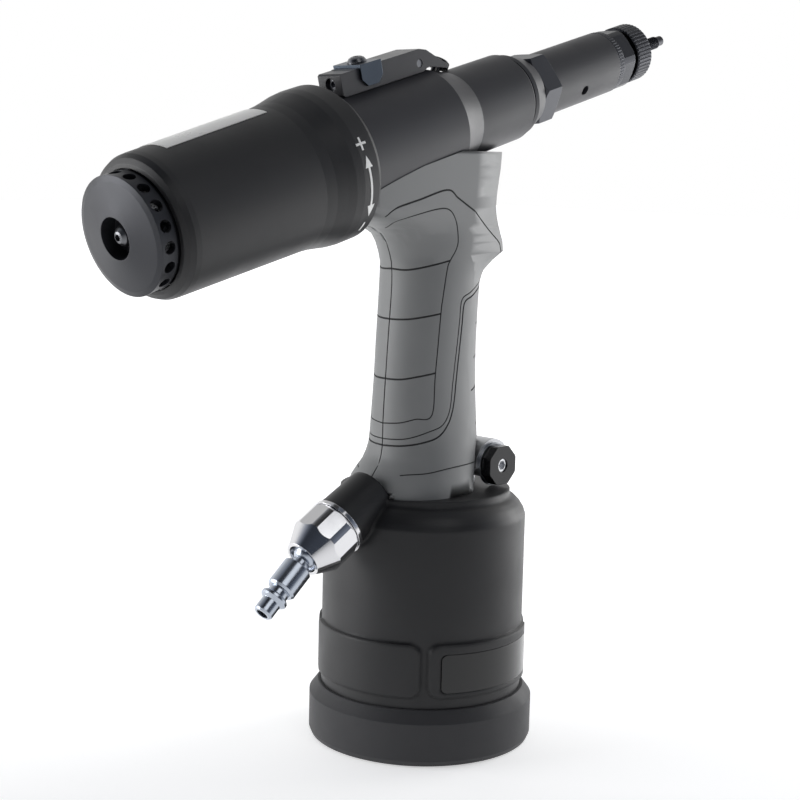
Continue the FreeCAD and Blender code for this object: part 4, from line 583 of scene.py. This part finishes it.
# %% Ridge ring tree
def ridge_tree():
    """Node tree with named inputs that makes a ring of ridges round the local Z axis."""
    tree = bpy.data.node_groups.new("Ridge ring", "GeometryNodeTree")
    face = tree.interface
    face.new_socket(name="Geometry", in_out="INPUT", socket_type="NodeSocketGeometry")
    for label, kind, value in (("Count", "NodeSocketInt", 60), ("Radius", "NodeSocketFloat", 0.01),
                               ("Length", "NodeSocketFloat", 0.003), ("Width", "NodeSocketFloat", 0.0007),
                               ("Height", "NodeSocketFloat", 0.0007), ("Finish", "NodeSocketMaterial", None)):
        socket = face.new_socket(name=label, in_out="INPUT", socket_type=kind)
        if value is not None:
            socket.default_value = value
    face.new_socket(name="Geometry", in_out="OUTPUT", socket_type="NodeSocketGeometry")
    given = add(tree, "NodeGroupInput")
    circle = add(tree, "GeometryNodeMeshCircle", {"Vertices": given.outputs["Count"],
                                                  "Radius": given.outputs["Radius"]}, fill_type="NONE")
    ridge = add(tree, "GeometryNodeMeshCylinder", {"Vertices": 6, "Radius": 1.0, "Depth": given.outputs["Length"],
                                                   "Side Segments": 1, "Fill Segments": 1})
    size = add(tree, "ShaderNodeCombineXYZ", {"X": given.outputs["Height"], "Y": given.outputs["Width"], "Z": 1.0})
    shaped = add(tree, "GeometryNodeTransform", {"Geometry": ridge.outputs["Mesh"], "Scale": size.outputs["Vector"]})
    place = add(tree, "GeometryNodeInputPosition")
    outward = add(tree, "FunctionNodeAlignRotationToVector", {"Vector": place.outputs["Position"]}, axis="X",
                  pivot_axis="Z")
    spread = add(tree, "GeometryNodeInstanceOnPoints", {"Points": circle.outputs["Mesh"],
                                                        "Instance": shaped.outputs["Geometry"],
                                                        "Rotation": outward.outputs["Rotation"]})
    real = add(tree, "GeometryNodeRealizeInstances", {"Geometry": spread.outputs["Instances"]})
    painted = add(tree, "GeometryNodeSetMaterial", {"Geometry": real.outputs["Geometry"],
                                                    "Material": given.outputs["Finish"]})
    add(tree, "NodeGroupOutput", {"Geometry": painted.outputs["Geometry"]})
    return tree


RIDGES = ridge_tree()


def ridge_ring(name, body, slot, station, **sizes):
    """Plain mesh of a ridge ring, centred at a station of the barrel."""
    holder = bpy.data.objects.new(name, bpy.data.meshes.new(name))
    bpy.context.collection.objects.link(holder)
    maker = holder.modifiers.new("ridges", "NODES")
    maker.node_group = RIDGES
    sockets = {item.name: item.identifier for item in RIDGES.interface.items_tree if item.in_out == "INPUT"}
    for label, value in sizes.items():
        maker[sockets[label]] = value
    bpy.context.view_layer.update()
    graph = bpy.context.evaluated_depsgraph_get()
    mesh = bpy.data.meshes.new_from_object(holder.evaluated_get(graph))
    holder.modifiers.remove(maker)
    holder.data = mesh
    axis_turn = Matrix.Rotation(math.pi / 2 - BARREL_TILT, 4, "Y")
    mesh.transform(Matrix.Translation(on_barrel(station, 0, 0)) @ axis_turn)
    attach(holder, body)
    print(name, "faces:", len(mesh.polygons))
    return holder


# %% Knurl of the lock nut
NUT_STATION = 115.9
ridge_ring("nose_nut_knurl", "tool", "steel_dark", NUT_STATION, Count=64, Radius=13.75 * MM, Length=2.6 * MM,
           Width=0.38 * MM, Height=0.42 * MM, Finish=finishes["steel_dark"])

# %% [markdown]
# ## Floor and light
# The tool stands on a pale sheet inside a light tent. The walls to the left, the right and behind are bright and the
# sheet throws light up from below, while the roof and the open side towards the viewer are dim. Round black parts
# then show a dark middle between two bright rims, which is what gives matte black its shape. The sheet's own glow
# fades in front of the tool, so that little light comes back from the open side.

# %% Floor
# Unit direction from the tool to the viewer.
VIEWER = Vector((-0.7145, -0.6841, 0.1462))
FLOOR_HALF = 6.0
FADE_START, FADE_END = -0.6, 0.7
GLOW_BEHIND, GLOW_IN_FRONT = 0.95, 0.06
floor_mesh = bpy.data.meshes.new("floor")
floor_mesh.from_pydata([(-FLOOR_HALF, -FLOOR_HALF, 0), (FLOOR_HALF, -FLOOR_HALF, 0), (FLOOR_HALF, FLOOR_HALF, 0),
                        (-FLOOR_HALF, FLOOR_HALF, 0)], [], [(0, 1, 2, 3)])
floor = bpy.data.objects.new("floor", floor_mesh)
bpy.context.collection.objects.link(floor)
sheet = surface("Back-lit white sheet", "#f4f4f4", 0.8, grain=0.6, lift=0.01, drift=0.01)
sheet_shader = next(n for n in sheet.node_tree.nodes if n.type == "BSDF_PRINCIPLED")
sheet_shader.inputs["Emission Color"].default_value = (1, 1, 1, 1)
spot = add(sheet.node_tree, "ShaderNodeTexCoord").outputs["Object"]
forward = add(sheet.node_tree, "ShaderNodeVectorMath", {0: spot, 1: VIEWER}, operation="DOT_PRODUCT")
fade = add(sheet.node_tree, "ShaderNodeMapRange", {"Value": forward.outputs["Value"], "From Min": FADE_START,
                                                   "From Max": FADE_END, "To Min": GLOW_BEHIND,
                                                   "To Max": GLOW_IN_FRONT},
           interpolation_type="SMOOTHSTEP")
sheet.node_tree.links.new(fade.outputs["Result"], sheet_shader.inputs["Emission Strength"])
floor_mesh.materials.append(sheet)

# %% [markdown]
# The tent is a world whose brightness depends on direction alone: full at the walls, half at the roof, and a faint
# blue on the open side, where only the room's daylight comes in. Two soft lamps stand for the lit walls, and a large
# weak card in front gives the chrome something bright to mirror without lighting the black parts.

# %% Tent light
OPEN_LEVEL, ROOF_LEVEL = 0.07, 0.5
DAYLIGHT = (0.62, 0.74, 1.0, 1.0)
world = bpy.data.worlds.new("Light tent")
bpy.context.scene.world = world
world.use_nodes = True
tent = world.node_tree
tent.nodes.clear()
look = add(tent, "ShaderNodeTexCoord").outputs["Generated"]
towards = add(tent, "ShaderNodeVectorMath", {0: look, 1: VIEWER}, operation="DOT_PRODUCT")
open_side = add(tent, "ShaderNodeMapRange", {"Value": towards.outputs["Value"], "From Min": -0.35, "From Max": 0.6,
                                             "To Min": 1.0, "To Max": OPEN_LEVEL}, interpolation_type="SMOOTHSTEP")
rise = add(tent, "ShaderNodeSeparateXYZ", {"Vector": look})
roof = add(tent, "ShaderNodeMapRange", {"Value": rise.outputs["Z"], "From Min": 0.25, "From Max": 0.8,
                                        "To Min": 1.0, "To Max": ROOF_LEVEL}, interpolation_type="SMOOTHSTEP")
level = add(tent, "ShaderNodeMath", {0: open_side.outputs["Result"], 1: roof.outputs["Result"]},
            operation="MULTIPLY")
cool = add(tent, "ShaderNodeMix", {0: open_side.outputs["Result"], 6: DAYLIGHT, 7: (1, 1, 1, 1)},
           data_type="RGBA")
glow = add(tent, "ShaderNodeBackground", {"Color": cool.outputs[2], "Strength": level.outputs["Value"]})
add(tent, "ShaderNodeOutputWorld", {"Surface": glow.outputs["Background"]})


def lamp(name, place, target, size, power):
    """Square soft lamp aimed at a point."""
    light = bpy.data.lights.new(name, "AREA")
    light.shape = "SQUARE"
    light.size = size
    light.energy = power
    holder = bpy.data.objects.new(name, light)
    bpy.context.collection.objects.link(holder)
    holder.location = place
    holder.rotation_euler = (Vector(target) - Vector(place)).to_track_quat("-Z", "Y").to_euler()
    return holder


middle = (cad_box[0] + cad_box[1]) / 2
lamp("Nose side lamp", (1.15, -0.3, 0.35), middle, 0.7, 5.2)
lamp("Rear side lamp", (-0.95, 0.75, 0.3), middle, 0.7, 7.0)
lamp("Front card", (-0.25, -0.62, 0.75), (-0.09, 0, 0.08), 0.5, 1.0)
print("floor, tent, two side lamps and one card")

# %% [markdown]
# ## Camera
# A long lens from about 0.7 m looks slightly down on the tool's rear left quarter, so the barrel runs from the near
# end cap up and away to the nose.

# %% Camera
camera_data = bpy.data.cameras.new("Camera")
camera_data.lens = 75.2
camera_data.sensor_width = 36.0
camera_data.clip_start = 0.01
camera_data.clip_end = 50.0
camera = bpy.data.objects.new("Camera", camera_data)
bpy.context.collection.objects.link(camera)
right = Vector((0.69386706, -0.71972771, 0.02324907))
up = Vector((0.08931798, 0.11805536, 0.98898192))
back = Vector((-0.71454237, -0.68414541, 0.14619935))
turn = Matrix((right, up, back)).transposed().to_4x4()
camera.matrix_world = Matrix.Translation(Vector((-0.5254, -0.4867, 0.2540))) @ turn
bpy.context.scene.camera = camera
bpy.context.scene.view_settings.view_transform = "Standard"
print("camera set")
